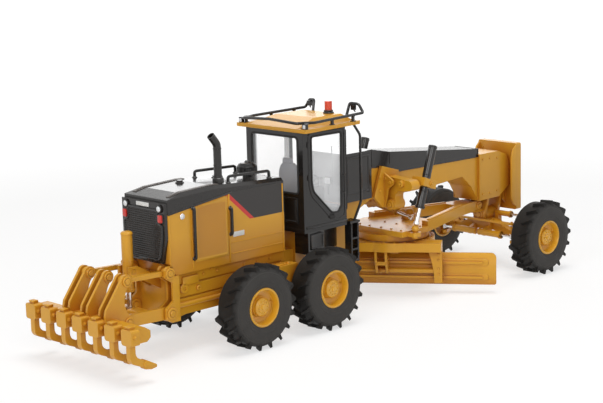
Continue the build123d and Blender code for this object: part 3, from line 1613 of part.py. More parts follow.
with BuildPart(FRAME) as yoke:
    for x in (-2.5, 2.5):
        with BuildSketch(cross(X_AXLE + x)):
            with BuildLine():
                Polyline(
                    (-LEAN_Y + 1.2, WHEEL_Z - 1.9),
                    (-LEAN_Y + 1.8, WHEEL_Z - 1.0),
                    (-LEAN_Y + 1.8, WHEEL_Z + 1.0),
                    (-LEAN_Y + 1.2, WHEEL_Z + 1.9),
                    (-19.3, WHEEL_Z + 1.9),
                    (-19.3, WHEEL_Z - 1.9),
                    close=True,
                )
            make_face()
        extrude(amount=0.7, both=True)
    with BuildSketch(cross(X_AXLE)):
        with Locations((-LEAN_Y, WHEEL_Z)):
            Circle(LEAN_PIN_R)
    extrude(amount=3.0, both=True)
    with BuildSketch(plan(WHEEL_Z - YOKE_HALF + 0.05)):
        with Locations((X_AXLE, -19.0)):
            Rectangle(6.4, 0.6)
        with Locations((X_AXLE, -KING_Y)):
            Circle(1.5)
        with Locations((X_AXLE, -19.6)):
            Rectangle(2.4, 1.2)
    extrude(amount=2 * YOKE_HALF - 0.1)
    with BuildSketch(plan(WHEEL_Z - KNUCKLE_HALF)):
        with Locations((X_AXLE, -KING_Y)):
            Circle(KING_PIN_R)
    extrude(amount=2 * KNUCKLE_HALF)
    # post for the lean rod and the horn for the lean bar
    with BuildSketch(plan(WHEEL_Z + 1.0)):
        with Locations((X_AXLE + 2.5, -(POST_IN + 0.8))):
            Rectangle(1.4, 1.6)
    extrude(amount=LEAN_CYL_Z + 1.2 - WHEEL_Z - 1.0)
    with BuildSketch(plan(WHEEL_Z + 2.15)):
        with Locations((X_AXLE + 2.1, -(POST_IN + 0.8))):
            Rectangle(2.2, 1.6)
    extrude(amount=LEAN_CYL_Z + 1.2 - WHEEL_Z - 2.15)
    with BuildSketch(plan(BAR_Z - FACE - 1.0)):
        with Locations(((X_AXLE + 2.4 + LEAN_BAR_X + 0.7) / 2, -LEAN_Y)):
            Rectangle(LEAN_BAR_X + 0.7 - X_AXLE - 2.4, 1.5)
    extrude(amount=1.0)
save(yoke.part, "lean_yoke_right")
save(mirrored(yoke.part), "lean_yoke_left")

with BuildPart(FRAME) as knuckle:
    for z in (WHEEL_Z - KNUCKLE_HALF, WHEEL_Z + KNUCKLE_HALF - 1.2):
        with BuildSketch(plan(z)):
            with Locations((X_AXLE, -KING_Y)):
                Circle(1.5)
            with Locations((X_AXLE, -KING_Y - 1.4)):
                Rectangle(3.0, 2.8)
            with BuildLine():
                Polyline(
                    (X_AXLE + 0.2, -KING_Y - 1.2),
                    (X_AXLE - ARM_BACK - 0.1, -KING_Y + ARM_IN - 1.0),
                    (X_AXLE - ARM_BACK + 0.2, -KING_Y + ARM_IN + 1.0),
                    (X_AXLE + 0.2, -KING_Y + 1.2),
                    close=True,
                )
            make_face()
            with Locations((X_AXLE - ARM_BACK, -KING_Y + ARM_IN)):
                Circle(0.8)
            with Locations((X_AXLE, -KING_Y)):
                Circle(KING_PIN_R + RUN, mode=Mode.SUBTRACT)
        extrude(amount=1.2)
    with BuildSketch(side(-KING_Y - 1.7)):
        with Locations((X_AXLE, WHEEL_Z)):
            Rectangle(3.0, 2 * KNUCKLE_HALF)
    extrude(amount=1.1)
    with BuildSketch(side(-KING_Y - 2.4)):
        with Locations((X_AXLE, WHEEL_Z)):
            Circle(2.9)
    extrude(amount=FRONT_WHEEL_Y - 3.2 - FACE - KING_Y - 2.4)
    with BuildSketch(side(-KING_Y - 2.4)):
        with Locations((X_AXLE, WHEEL_Z)):
            Circle(STUB_R)
    extrude(amount=FRONT_WHEEL_Y + 2.3 - KING_Y - 2.4)
save(knuckle.part, "knuckle_right")
save(mirrored(knuckle.part), "knuckle_left")
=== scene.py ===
"""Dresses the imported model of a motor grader: stage, finishes and the small fittings."""

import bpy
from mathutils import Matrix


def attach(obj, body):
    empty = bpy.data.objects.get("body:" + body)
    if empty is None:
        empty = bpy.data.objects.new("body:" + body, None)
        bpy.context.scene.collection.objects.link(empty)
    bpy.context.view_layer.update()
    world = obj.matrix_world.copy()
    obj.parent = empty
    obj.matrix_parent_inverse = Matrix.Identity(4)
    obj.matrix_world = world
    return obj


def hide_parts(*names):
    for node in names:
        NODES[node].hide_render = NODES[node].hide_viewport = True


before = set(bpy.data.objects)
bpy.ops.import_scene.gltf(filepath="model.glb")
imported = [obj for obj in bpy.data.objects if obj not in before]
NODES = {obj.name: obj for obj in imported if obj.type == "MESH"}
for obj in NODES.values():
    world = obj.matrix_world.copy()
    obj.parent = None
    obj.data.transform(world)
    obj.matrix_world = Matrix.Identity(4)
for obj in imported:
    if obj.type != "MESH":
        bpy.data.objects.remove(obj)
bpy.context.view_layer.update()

import math

import bmesh
import bpy
from mathutils import Matrix, Vector

bl_info = {
    "name": "Motor grader model",
    "version": (1, 0, 0),
    "blender": (4, 5, 0),
    "location": "View3D > Sidebar > Grader",
    "description": "Finishes and fittings of a scale model of a motor grader",
    "category": "Object",
}

# Places of the castings, in mm
MM = 0.001
TANDEM_MIDDLE = sum(corner[0] for corner in NODES["tandem_case_left"].bound_box) / 8 / MM


def at(x, y, z):
    """A station, in mm ahead of the tandem's middle, as a point of the frame in metres."""
    return Vector((x + TANDEM_MIDDLE, y, z)) * MM


class Box:
    """The reach of a casting at stations: x0 to x1, y0 to y1 and z0 to z1."""

    def __init__(self, name):
        corners = [Vector(corner) / MM for corner in NODES[name].bound_box]
        self.x0, self.x1 = (end(c.x for c in corners) - TANDEM_MIDDLE for end in (min, max))
        self.y0, self.y1 = (end(c.y for c in corners) for end in (min, max))
        self.z0, self.z1 = (end(c.z for c in corners) for end in (min, max))
        self.middle = Vector((self.x0 + self.x1, self.y0 + self.y1, self.z0 + self.z1)) / 2


WHEELS = {wheel: Box(f"{wheel}_tyre_left") for wheel in ("rear", "middle", "front")}
HOOD = Box("engine_side_panels")
GRILLE = Box("radiator_grille")
CAB = Box("cab_shell")
ROOF = Box("cab_roof")
BEACON = Box("beacon")
COVER = Box("boom_cover")
BOOM = Box("front_frame")
PUSH_PLATE = Box("push_plate")
CASE = Box("tandem_case_left")
CIRCLE = Box("circle")
SIDES = (("left", 1), ("right", -1))
HANDS = (-1, 1)
AHEAD, BACK = (1, 0, 0), (-1, 0, 0)
UP, DOWN = (0, 0, 1), (0, 0, -1)
RIGHT = (0, -1, 0)

# Outlines on the castings that their boxes don't give, in mm
HOOD_LINE = ((-43.5, 52.6), (-37.0, 54.0), (-23.0, 54.6), (-6.0, 53.7), (8.0, 53.1))
HOOD_RAIL_ENDS, HOOD_RAIL_SIDE = (-15.0, 3.6), 8.6
# station, lower and upper end of each handle on the hood's doors
DOOR_HANDLES = ((-33.0, 31.8, 48.6), (-16.8, 37.4, 46.2))
DOOR_WINDOW = (
    (18.6, 66.2), (18.6, 50.0), (19.4, 46.8), (28.2, 38.2), (31.6, 38.0), (33.2, 40.0), (33.6, 66.2))
DOOR_EDGE = (
    (17.2, 67.5), (17.2, 49.4), (18.2, 45.6), (27.6, 36.2), (32.0, 35.4), (34.6, 36.6), (34.9, 67.5))
CAB_FLOOR, ROOF_EDGE = 35.5, 69.4
CIRCLE_STATION = 75.0
BLADE_TURN = math.radians(36.0)


def hood_height(x):
    """Height of the hood's top at a station."""
    for (x0, z0), (x1, z1) in zip(HOOD_LINE, HOOD_LINE[1:]):
        if x <= x1:
            return z0 + (z1 - z0) * (x - x0) / (x1 - x0)
    return HOOD_LINE[-1][1]


def blade_way(ahead, along):
    """A direction on the ground from the turned blade's own measures."""
    return Vector((
        ahead * math.cos(BLADE_TURN) - along * math.sin(BLADE_TURN),
        ahead * math.sin(BLADE_TURN) + along * math.cos(BLADE_TURN), 0))


def blade_at(ahead, along, height):
    """A station from the turned blade's own measures."""
    return Vector((CIRCLE_STATION, 0, height)) + blade_way(ahead, along)


# Sizes and colours that a user may change
class GraderSizes(bpy.types.PropertyGroup):
    bolt: bpy.props.FloatProperty(
        name="Bolt head", description="Width of a bolt head on the castings", unit="LENGTH",
        default=0.8 * MM, min=0.2 * MM, max=3 * MM, precision=5)
    wheel_bolt: bpy.props.FloatProperty(
        name="Wheel bolt", description="Width of a wheel bolt's head", unit="LENGTH",
        default=0.55 * MM, min=0.2 * MM, max=2 * MM, precision=5)
    wheel_bolts: bpy.props.IntProperty(
        name="Wheel bolts", description="Bolts round each hub", default=10, min=4, max=24)
    hood_slots: bpy.props.IntProperty(
        name="Hood slots", description="Slots in each row along the hood's top edge",
        default=26, min=4, max=60)
    rail: bpy.props.FloatProperty(
        name="Rail", description="Thickness of the rails and handles", unit="LENGTH",
        default=1.06 * MM, min=0.9 * MM, max=1.4 * MM, precision=5)
    grille_ribs: bpy.props.IntProperty(
        name="Grille ribs", description="Upright ribs behind the radiator's wires",
        default=15, min=3, max=40)
    grille_rows: bpy.props.IntProperty(
        name="Grille rows", description="Wires across the radiator's screen",
        default=22, min=4, max=40)


class GraderColours(bpy.types.PropertyGroup):
    yellow: bpy.props.FloatVectorProperty(
        name="Body yellow", description="Golden yellow of the castings", subtype="COLOR",
        size=3, min=0, max=1, default=(0.70, 0.345, 0.020))
    rim_yellow: bpy.props.FloatVectorProperty(
        name="Rim yellow", description="Yellow of the wheel rims", subtype="COLOR",
        size=3, min=0, max=1, default=(0.72, 0.37, 0.018))
    black: bpy.props.FloatVectorProperty(
        name="Satin black", description="Warm black of the hood, cab and covers", subtype="COLOR",
        size=3, min=0, max=1, default=(0.018, 0.0155, 0.014))
    red: bpy.props.FloatVectorProperty(
        name="Slash red", description="Red of the slash on the hood", subtype="COLOR",
        size=3, min=0, max=1, default=(0.60, 0.035, 0.028))
    rubber: bpy.props.FloatVectorProperty(
        name="Tyre rubber", description="Grey of the tyre walls", subtype="COLOR",
        size=3, min=0, max=1, default=(0.050, 0.047, 0.044))
    lug: bpy.props.FloatVectorProperty(
        name="Lug rubber", description="Darker rubber between the lugs", subtype="COLOR",
        size=3, min=0, max=1, default=(0.011, 0.010, 0.009))
    chrome: bpy.props.FloatVectorProperty(
        name="Rod chrome", description="Bright metal of rods and lamps", subtype="COLOR",
        size=3, min=0, max=1, default=(0.78, 0.77, 0.76))
    seat: bpy.props.FloatVectorProperty(
        name="Seat grey", description="Moulded grey of the seat", subtype="COLOR",
        size=3, min=0, max=1, default=(0.16, 0.165, 0.19))
    lamp_red: bpy.props.FloatVectorProperty(
        name="Lamp red", description="Red of the tail lamps", subtype="COLOR",
        size=3, min=0, max=1, default=(0.62, 0.03, 0.02))
    amber: bpy.props.FloatVectorProperty(
        name="Beacon amber", description="Orange of the beacon's cap", subtype="COLOR",
        size=3, min=0, max=1, default=(0.76, 0.060, 0.012))
    floor: bpy.props.FloatVectorProperty(
        name="Floor", description="Pale studio floor", subtype="COLOR",
        size=3, min=0, max=1, default=(0.94, 0.94, 0.94))


# Writing of finishes
class Wire:
    """A socket of a finish. Arithmetic on wires adds Math nodes to its tree."""

    def __init__(self, finish, socket):
        self.finish = finish
        self.socket = socket

    def math(self, operation, *values):
        inputs = dict(enumerate(values))
        return self.finish.node("ShaderNodeMath", {"operation": operation}, inputs)

    def __add__(self, other):
        return self.math("ADD", self, other)

    def __radd__(self, other):
        return self.math("ADD", other, self)

    def __sub__(self, other):
        return self.math("SUBTRACT", self, other)

    def __rsub__(self, other):
        return self.math("SUBTRACT", other, self)

    def __mul__(self, other):
        return self.math("MULTIPLY", self, other)

    def __rmul__(self, other):
        return self.math("MULTIPLY", other, self)

    def __truediv__(self, other):
        return self.math("DIVIDE", self, other)

    def __gt__(self, other):
        return self.math("GREATER_THAN", self, other)

    def __lt__(self, other):
        return self.math("LESS_THAN", self, other)

    def __abs__(self):
        return self.math("ABSOLUTE", self)

    def sine(self):
        return self.math("SINE", self)

    def root(self):
        return self.math("SQRT", self)

    def clamped(self):
        """The wire kept between 0 and 1."""
        return self.math("MINIMUM", self.math("MAXIMUM", self, 0.0), 1.0)


def socket_name(word):
    """The shader's own name of a socket from a keyword."""
    return word.replace("_", " ").title().replace("Ior", "IOR")


class Finish:
    """A material under construction, with its place on the object in mm."""

    def __init__(self, name, **uniform):
        self.material = bpy.data.materials.new(name)
        self.material.use_nodes = True
        self.tree = self.material.node_tree
        self.tree.nodes.clear()
        self.shader = self.tree.nodes.new("ShaderNodeBsdfPrincipled")
        self.surface = self.tree.nodes.new("ShaderNodeOutputMaterial")
        self.link(self.shader.outputs[0], self.surface.inputs["Surface"])
        for socket, value in uniform.items():
            self.shader.inputs[socket_name(socket)].default_value = value
        place = self.node("ShaderNodeTexCoord", output="Object")
        self.place = self.node(
            "ShaderNodeMapping", {}, {"Vector": place, "Scale": (1 / MM, 1 / MM, 1 / MM)})

    def link(self, start, end):
        self.tree.links.new(end, start)

    def node(self, kind, settings=None, inputs=None, output=0):
        """Adds a node: its settings first, then the values or wires of its sockets."""
        made = self.tree.nodes.new(kind)
        for name, value in (settings or {}).items():
            if name == "stops":
                ramp = made.color_ramp
                while len(ramp.elements) < len(value):
                    ramp.elements.new(1.0)
                for element, (position, colour) in zip(ramp.elements, value):
                    element.position = position
                    element.color = colour
            else:
                setattr(made, name, value)
        for name, value in (inputs or {}).items():
            if isinstance(value, Wire):
                self.link(value.socket, made.inputs[name])
            else:
                made.inputs[name].default_value = value
        return Wire(self, made.outputs[output])

    def others(self, wire, *names):
        """More outputs of a wire's node, by name."""
        outputs = wire.socket.node.outputs
        return tuple(Wire(self, outputs[name]) for name in names)

    def axes(self):
        """The station, the side and the height in mm, as wires."""
        x = self.node("ShaderNodeSeparateXYZ", {}, {"Vector": self.place})
        return (x - TANDEM_MIDDLE, *self.others(x, "Y", "Z"))

    def from_axle(self, wheel):
        """Distance in mm from a wheel's axle."""
        x, _, z = self.axes()
        dx, dz = x - wheel.middle.x, z - wheel.middle.z
        return (dx * dx + dz * dz).root()

    def noise(self, scale, detail=2.0, roughness=0.5, distortion=0.0):
        """Noise from 0 to 1 with features about 1/scale mm across."""
        return self.node("ShaderNodeTexNoise", {}, {
            "Vector": self.place, "Scale": scale, "Detail": detail,
            "Roughness": roughness, "Distortion": distortion})

    def blend(self, factor, first, second):
        """A colour between two others."""
        names = {0: factor, 6: first, 7: second}
        return self.node("ShaderNodeMix", {"data_type": "RGBA"}, {
            n: (*v, 1.0) if isinstance(v, (tuple, list)) else v for n, v in names.items()}, 2)

    def set(self, **wires):
        """Feeds sockets of the shader by name."""
        for socket, wire in wires.items():
            self.link(wire.socket, self.shader.inputs[socket_name(socket)])

    def bump(self, height, distance, strength=1.0, normal=None):
        """Feeds the shader's normal from a height between 0 and 1, distance in mm."""
        inputs = {"Height": height, "Distance": distance * MM, "Strength": strength}
        if normal:
            inputs["Normal"] = normal
        self.set(normal=self.node("ShaderNodeBump", {}, inputs))

    def orange_peel(self, normal):
        """The fine unevenness of sprayed enamel, on top of a normal."""
        self.bump(self.noise(5.0, 2.0), 0.010, 0.5, normal)

    def edges(self, radius):
        """A soft edge normal for castings and a mask of the edges, radius in mm."""
        soft = self.node("ShaderNodeBevel", {"samples": 4}, {"Radius": radius * MM})
        flat = self.node("ShaderNodeNewGeometry", output="Normal")
        same = self.node(
            "ShaderNodeVectorMath", {"operation": "DOT_PRODUCT"}, {0: soft, 1: flat}, "Value")
        return soft, ((1.0 - same) * 3.0).clamped()

    def hollows(self, reach):
        """A mask of corners and hollows for painted shade, reach in mm."""
        open_sky = self.node(
            "ShaderNodeAmbientOcclusion", {"samples": 6}, {"Distance": reach * MM}, "AO")
        return (1.15 - open_sky * 1.3).clamped()


def shade(colour, amount):
    """A colour made lighter or darker."""
    return tuple(min(1.0, c * amount) for c in colour)


def tinted(colour, tint):
    """A colour multiplied by a tint."""
    return tuple(c * t for c, t in zip(colour, tint))


# Painted shade: a burnt orange tint for hollows, and a brown one for the dish of a wheel
HOLLOW_SHADE_TINT = (0.60, 0.34, 0.40)
DISH_SHADE_TINT = (0.62, 0.42, 0.50)


def paint(name, colour, round_edge):
    """Sprayed enamel on a casting: soft edges, paler edges that are partly thin paint and partly a
    painted highlight, orange peel, a light mottle.
    """
    finish = Finish(name, coat_weight=0.2, coat_roughness=0.14, specular_ior_level=0.34)
    soft, edge = finish.edges(round_edge)
    slow = finish.noise(0.12, 3.0)
    mottle = finish.noise(1.6, 4.0, 0.6)
    body = finish.blend(slow, shade(colour, 0.93), shade(colour, 1.06))
    grain = finish.blend(mottle * 0.5, body, shade(colour, 0.90))
    # painted shade: corners and hollows turn burnt orange
    grain = finish.blend(finish.hollows(9.0) * 0.95, grain, tinted(colour, HOLLOW_SHADE_TINT))
    # paler edges: partly thin paint, partly a painted highlight
    finish.set(
        base_color=finish.blend(edge * 0.35, grain, shade(colour, 1.22)),
        roughness=0.32 + mottle * 0.12)
    finish.orange_peel(soft)
    return finish.material


def satin(name, colour, roughness, round_edge):
    """Satin black enamel with a fine dusty grain and paler edges, partly thin paint and partly a
    painted highlight.
    """
    finish = Finish(name, coat_weight=0.42, coat_roughness=0.08, specular_ior_level=0.26)
    soft, edge = finish.edges(round_edge)
    grain = finish.noise(3.0, 4.0, 0.65)
    dust = finish.noise(0.2, 3.0)
    base = finish.blend(dust, shade(colour, 0.80), shade(colour, 1.25))
    # paler edges: partly thin paint, partly a painted highlight
    finish.set(
        base_color=finish.blend(edge * 0.5, base, shade(colour, 2.2)),
        roughness=roughness + grain * 0.10)
    finish.bump(finish.noise(9.0, 2.0), 0.005, 0.4, soft)
    return finish.material


def hood_panels(name, colours):
    """Yellow side panels with the black field and its red slash towards the cab."""
    finish = Finish(name, coat_weight=0.2, coat_roughness=0.12, specular_ior_level=0.38)
    soft, edge = finish.edges(0.16)
    x, y, z = finish.axes()
    slash_top, slash_foot, slash_width = Vector((-15.8, 50.0)), Vector((-6.0, 41.3)), 1.35
    slope = (slash_foot - slash_top).normalized()
    across = (x - slash_top.x) * -slope.y + (z - slash_top.y) * slope.x
    wall = (abs(y) > HOOD.y1 - 0.15) * (z > slash_foot.y - 0.1)
    field = (across > 0.0) * wall
    slash = (across > -slash_width) * wall * (1.0 - field)
    slow = finish.noise(0.12, 3.0)
    mottle = finish.noise(1.6, 4.0, 0.6)
    painted_shade = tinted(colours.yellow, HOLLOW_SHADE_TINT)
    body = finish.blend(slow, shade(colours.yellow, 0.93), shade(colours.yellow, 1.06))
    # painted shade: corners and hollows turn burnt orange
    body = finish.blend(finish.hollows(6.0) * 0.8, body, painted_shade)
    # painted shade: the panels' lower part turns burnt orange towards the bottom
    skirt_top, skirt_fade = 38.0, 9.0
    low = ((skirt_top - z) / skirt_fade + slow * 0.4).clamped()
    body = finish.blend(low * 0.35, body, painted_shade)
    # paler edges: partly thin paint, partly a painted highlight
    body = finish.blend(edge * 0.35, body, shade(colours.yellow, 1.22))
    body = finish.blend(slash, body, tuple(colours.red))
    finish.set(
        base_color=finish.blend(field, body, shade(colours.black, 1.5)),
        roughness=0.3 + mottle * 0.12)
    finish.orange_peel(soft)
    return finish.material


def grille_screen(name, colour):
    """Dark core behind the radiator's screen: crossed wires with grey dust, and painted shade in the
    gaps between them.
    """
    finish = Finish(name, specular_ior_level=0.3)
    _, y, z = finish.axes()
    mesh = 0.45
    turn = 2 * math.pi / mesh
    wires = ((y * turn).sine() * (z * turn).sine()) * 0.5 + 0.5
    dust = finish.noise(0.5, 3.0)
    body = finish.blend(dust, shade(colour, 1.2), shade(colour, 4.0))
    # painted shade: the gaps between the wires are darker
    finish.set(
        base_color=finish.blend(wires, shade(colour, 0.7), body),
        roughness=0.5 + wires * 0.2)
    finish.bump(wires, 0.08, 0.8)
    return finish.material


def mesh_door(name, colour):
    """Yellow door of pierced sheet: rows of tiny staggered holes inside a plain border, the holes
    painted as shade.
    """
    finish = Finish(name, coat_weight=0.2, coat_roughness=0.2)
    x, _, z = finish.axes()
    pitch, hole_level = 0.62, 0.42
    turn = 2 * math.pi / pitch
    pierced = abs(((x + TANDEM_MIDDLE) * turn).sine() * (z * turn).sine()) > hole_level
    middle_x, middle_z, half_length, half_height = -25.0, 40.2, 6.3, 8.6
    inside = (abs(x - middle_x) < half_length) * (abs(z - middle_z) < half_height)
    hole = pierced * inside
    slow = finish.noise(0.15, 3.0)
    body = finish.blend(slow, shade(colour, 0.80), shade(colour, 0.94))
    # painted shade in the holes, which are not cut
    finish.set(
        base_color=finish.blend(hole * 0.75, body, tinted(colour, HOLLOW_SHADE_TINT)),
        roughness=0.38 + slow * 0.1)
    finish.bump(1.0 - hole, 0.05, 0.5)
    return finish.material


def tyre_rubber(name, wheel, colours):
    """Moulded rubber: smooth grey walls with ring grooves, dark tread between the lugs."""
    finish = Finish(name, specular_ior_level=0.18)
    radius = finish.from_axle(wheel)
    wall_top, shoulder = 11.9, 1.4
    tread = ((radius - wall_top) / shoulder).clamped()
    grain = finish.noise(2.2, 5.0, 0.65)
    scuff = finish.noise(0.35, 3.0)
    wall = finish.blend(scuff, shade(colours.rubber, 0.86), shade(colours.rubber, 1.18))
    finish.set(
        base_color=finish.blend(tread * 0.85, wall, tuple(colours.lug)),
        roughness=0.52 + grain * 0.2)
    height = grain * 0.12
    # radius and width of each moulded ring
    for ring_radius, width in ((7.7, 0.35), (8.7, 0.18), (11.6, 0.22), (12.3, 0.16)):
        height = height + (1.0 - abs(radius - ring_radius) / width).clamped()
    finish.bump(height, 0.12, 0.8)
    return finish.material


def rim_paint(name, wheel, colour):
    """Wheel yellow with painted shade in the dish round the hub."""
    finish = Finish(name, coat_weight=0.3, coat_roughness=0.15)
    soft, edge = finish.edges(0.18)
    dish, dish_width = 4.3, 1.3
    # painted shade: a darker ring in the dish round the hub
    painted_shade = (1.0 - abs(finish.from_axle(wheel) - dish) / dish_width).clamped()
    slow = finish.noise(0.4, 3.0)
    body = finish.blend(slow, shade(colour, 0.94), shade(colour, 1.05))
    body = finish.blend(painted_shade * 0.35, body, tinted(colour, DISH_SHADE_TINT))
    # paler edges: partly thin paint, partly a painted highlight
    finish.set(
        base_color=finish.blend(edge * 0.3, body, shade(colour, 1.2)),
        roughness=0.3 + slow * 0.12)
    finish.orange_peel(soft)
    return finish.material


def bright_metal(name, colour):
    """Turned and plated metal with fine marks round it."""
    finish = Finish(name, metallic=1.0)
    fine = finish.noise(4.0, 4.0, 0.6)
    slow = finish.noise(0.5, 2.0)
    finish.set(
        base_color=finish.blend(slow, shade(colour, 0.86), tuple(colour)),
        roughness=0.12 + fine * 0.12)
    finish.bump(fine, 0.004, 0.5)
    return finish.material


def clear_plastic(name):
    """Thin clear glazing with moulding waves and a painted reflection: a grey glow of its own and a
    whiter cover, strongest on the side panes.
    """
    finish = Finish(name, ior=1.45, emission_strength=1.0)
    side_pane = abs(finish.axes()[1]) > CAB.y1 - 1.7
    wave = finish.noise(0.25, 2.0)
    painted_reflection_mottle = finish.noise(0.1, 3.0, 0.6)
    # painted reflection: the glazing glows grey, and the side panes get a whiter, more opaque cover
    finish.set(
        base_color=finish.blend(painted_reflection_mottle, (0.80, 0.82, 0.84), (0.95, 0.96, 0.97)),
        emission_color=finish.blend(painted_reflection_mottle, (0.45, 0.45, 0.46), (0.55, 0.55, 0.55)),
        alpha=0.06 + painted_reflection_mottle * 0.04 + side_pane * (0.10 + painted_reflection_mottle * 0.12),
        roughness=0.02 + wave * 0.03)
    finish.bump(wave, 0.02, 0.2)
    return finish.material


def moulded(name, colour, roughness, grain_scale):
    """Moulded plastic with a leather-like grain."""
    finish = Finish(name)
    grain = finish.noise(grain_scale, 5.0, 0.6)
    slow = finish.noise(0.3, 2.0)
    finish.set(
        base_color=finish.blend(slow, shade(colour, 0.88), shade(colour, 1.12)),
        roughness=roughness + grain * 0.15)
    finish.bump(grain, 0.03, 0.6)
    return finish.material


def lamp_cap(name, colour, ribs):
    """Coloured clear cap with moulded ribs and a glow of its own colour."""
    finish = Finish(name, coat_weight=0.3, coat_roughness=0.05, emission_strength=0.05)
    wave = (finish.axes()[2] * ribs).sine() * 0.5 + 0.5
    slow = finish.noise(0.8, 2.0)
    body = finish.blend(slow, shade(colour, 0.88), shade(colour, 1.1))
    finish.set(
        base_color=finish.blend(wave * 0.3, body, shade(colour, 0.7)),
        emission_color=body,
        roughness=0.2 + slow * 0.1)
    finish.bump(wave, 0.05, 0.7)
    return finish.material


def rear_lamp_caps(name, colours):
    """Red tail lamps below, bright work lamps above."""
    finish = Finish(name, coat_weight=0.6, coat_roughness=0.05)
    _, y, z = finish.axes()
    tail_lamp_top, ribs = 48.4, 9.0
    lower = z < tail_lamp_top
    wave = (y * ribs).sine() * 0.5 + 0.5
    red = finish.blend(wave * 0.4, tuple(colours.lamp_red), shade(colours.lamp_red, 0.6))
    finish.set(
        base_color=finish.blend(lower, (0.82, 0.82, 0.80), red),
        metallic=(1.0 - lower) * 0.8,
        roughness=0.14 + wave * 0.08)
    finish.bump(wave, 0.05, 0.6)
    return finish.material


# Tools for modelling
SHARP_ANGLE = math.radians(35)


def deselect():
    if bpy.context.object and bpy.context.object.mode != "OBJECT":
        bpy.ops.object.mode_set(mode="OBJECT")
    bpy.ops.object.select_all(action="DESELECT")


def activate(obj):
    deselect()
    obj.select_set(True)
    bpy.context.view_layer.objects.active = obj


def settle(obj=None):
    """Puts an object's place, turn and size into its mesh."""
    if obj:
        activate(obj)
    bpy.ops.object.transform_apply(location=True, rotation=True, scale=True)
    return bpy.context.object


def block(centre, size):
    """A box by its middle and size in mm, at stations."""
    deselect()
    bpy.ops.mesh.primitive_cube_add(
        size=1, location=at(*centre), scale=tuple(s * MM for s in size))
    return settle()


def stand(direction):
    """The turn that takes +Z to a direction."""
    return Vector(direction).to_track_quat("Z", "Y")


def rod(start, end, radius, sides=20, top=None):
    """A round bar between two stations; top is its radius at the end, in mm."""
    first, last = at(*start), at(*end)
    turn = stand(last - first).to_euler()
    deselect()
    bpy.ops.mesh.primitive_cone_add(
        vertices=sides, radius1=radius * MM, radius2=(radius if top is None else top) * MM,
        depth=(last - first).length, location=(first + last) / 2, rotation=turn)
    return settle()


def ring(centre, direction, radius, thick, segments=32, sides=8):
    """A torus round a direction, in mm."""
    deselect()
    bpy.ops.mesh.primitive_torus_add(
        major_radius=radius * MM, minor_radius=thick * MM, major_segments=segments,
        minor_segments=sides, location=at(*centre), rotation=stand(direction).to_euler())
    return settle()


def dome(centre, direction, radius, height, segments=20, rings=10):
    """A half sphere flattened to a height, its rim closed by a flat face."""
    deselect()
    bpy.ops.mesh.primitive_uv_sphere_add(segments=segments, ring_count=rings, radius=radius * MM)
    obj = bpy.context.object
    bpy.ops.object.mode_set(mode="EDIT")
    bpy.ops.mesh.select_all(action="SELECT")
    bpy.ops.mesh.bisect(plane_co=(0, 0, 0), plane_no=(0, 0, 1), clear_inner=True, use_fill=True)
    bpy.ops.object.mode_set(mode="OBJECT")
    obj.scale = (1, 1, height / radius)
    obj.rotation_euler = stand(direction).to_euler()
    obj.location = at(*centre)
    return settle(obj)


def rounded(corners, radius, closed=True, steps=4):
    """An outline of stations with its corners rounded."""
    points = []
    last = len(corners) - 1
    for index, corner in enumerate(corners):
        here = Vector(corner)
        if not closed and index in (0, last):
            points.append(corner)
            continue
        start = here + (Vector(corners[index - 1]) - here).normalized() * radius
        end = here + (Vector(corners[(index + 1) % len(corners)]) - here).normalized() * radius
        for step in range(steps + 1):
            t = step / steps
            points.append(tuple(start * (1 - t) ** 2 + here * 2 * t * (1 - t) + end * t ** 2))
    return points


def pipe(points, radius, closed=False):
    """A bar bent along stations, as a closed tube."""
    deselect()
    bpy.ops.curve.primitive_nurbs_path_add()
    curve = bpy.context.object
    curve.data.splines.clear()
    line = curve.data.splines.new("POLY")
    line.points.add(len(points) - 1)
    for point, station in zip(line.points, points):
        point.co = (*at(*station), 1.0)
    line.use_cyclic_u = closed
    curve.data.bevel_depth = radius * MM
    curve.data.bevel_resolution = 2
    curve.data.use_fill_caps = True
    bpy.ops.object.convert(target="MESH")
    return settle()


def slab(outline, push):
    """A plate: an outline of stations, extruded along a push in mm."""
    deselect()
    bpy.ops.mesh.primitive_circle_add(vertices=len(outline), fill_type="NGON")
    obj = bpy.context.object
    for vertex, station in zip(obj.data.vertices, outline):
        vertex.co = at(*station)
    activate(obj)
    bpy.ops.object.mode_set(mode="EDIT")
    bpy.ops.mesh.select_all(action="SELECT")
    bpy.ops.mesh.extrude_region_move(TRANSFORM_OT_translate={"value": Vector(push) * MM})
    bpy.ops.mesh.select_all(action="SELECT")
    bpy.ops.mesh.normals_make_consistent(inside=False)
    bpy.ops.object.mode_set(mode="OBJECT")
    return obj


def turned(centre, direction, profile, sides=24):
    """A turned part at a station: radii and heights in mm up its axis, closed at both ends."""
    deselect()
    radius, height = profile[0]
    bpy.ops.mesh.primitive_circle_add(vertices=sides, radius=radius * MM, fill_type="NGON")
    obj = bpy.context.object
    bpy.ops.object.mode_set(mode="EDIT")
    bpy.ops.mesh.select_all(action="SELECT")
    bpy.ops.transform.translate(value=(0, 0, height * MM))
    for wider, higher in profile[1:]:
        bpy.ops.mesh.extrude_region_move(
            TRANSFORM_OT_translate={"value": (0, 0, (higher - height) * MM)})
        bpy.ops.transform.resize(
            value=(wider / radius, wider / radius, 1), center_override=(0, 0, higher * MM))
        radius, height = wider, higher
    bpy.ops.mesh.select_all(action="SELECT")
    bpy.ops.mesh.normals_make_consistent(inside=False)
    bpy.ops.object.mode_set(mode="OBJECT")
    obj.rotation_euler = stand(direction).to_euler()
    obj.location = at(*centre)
    return settle(obj)


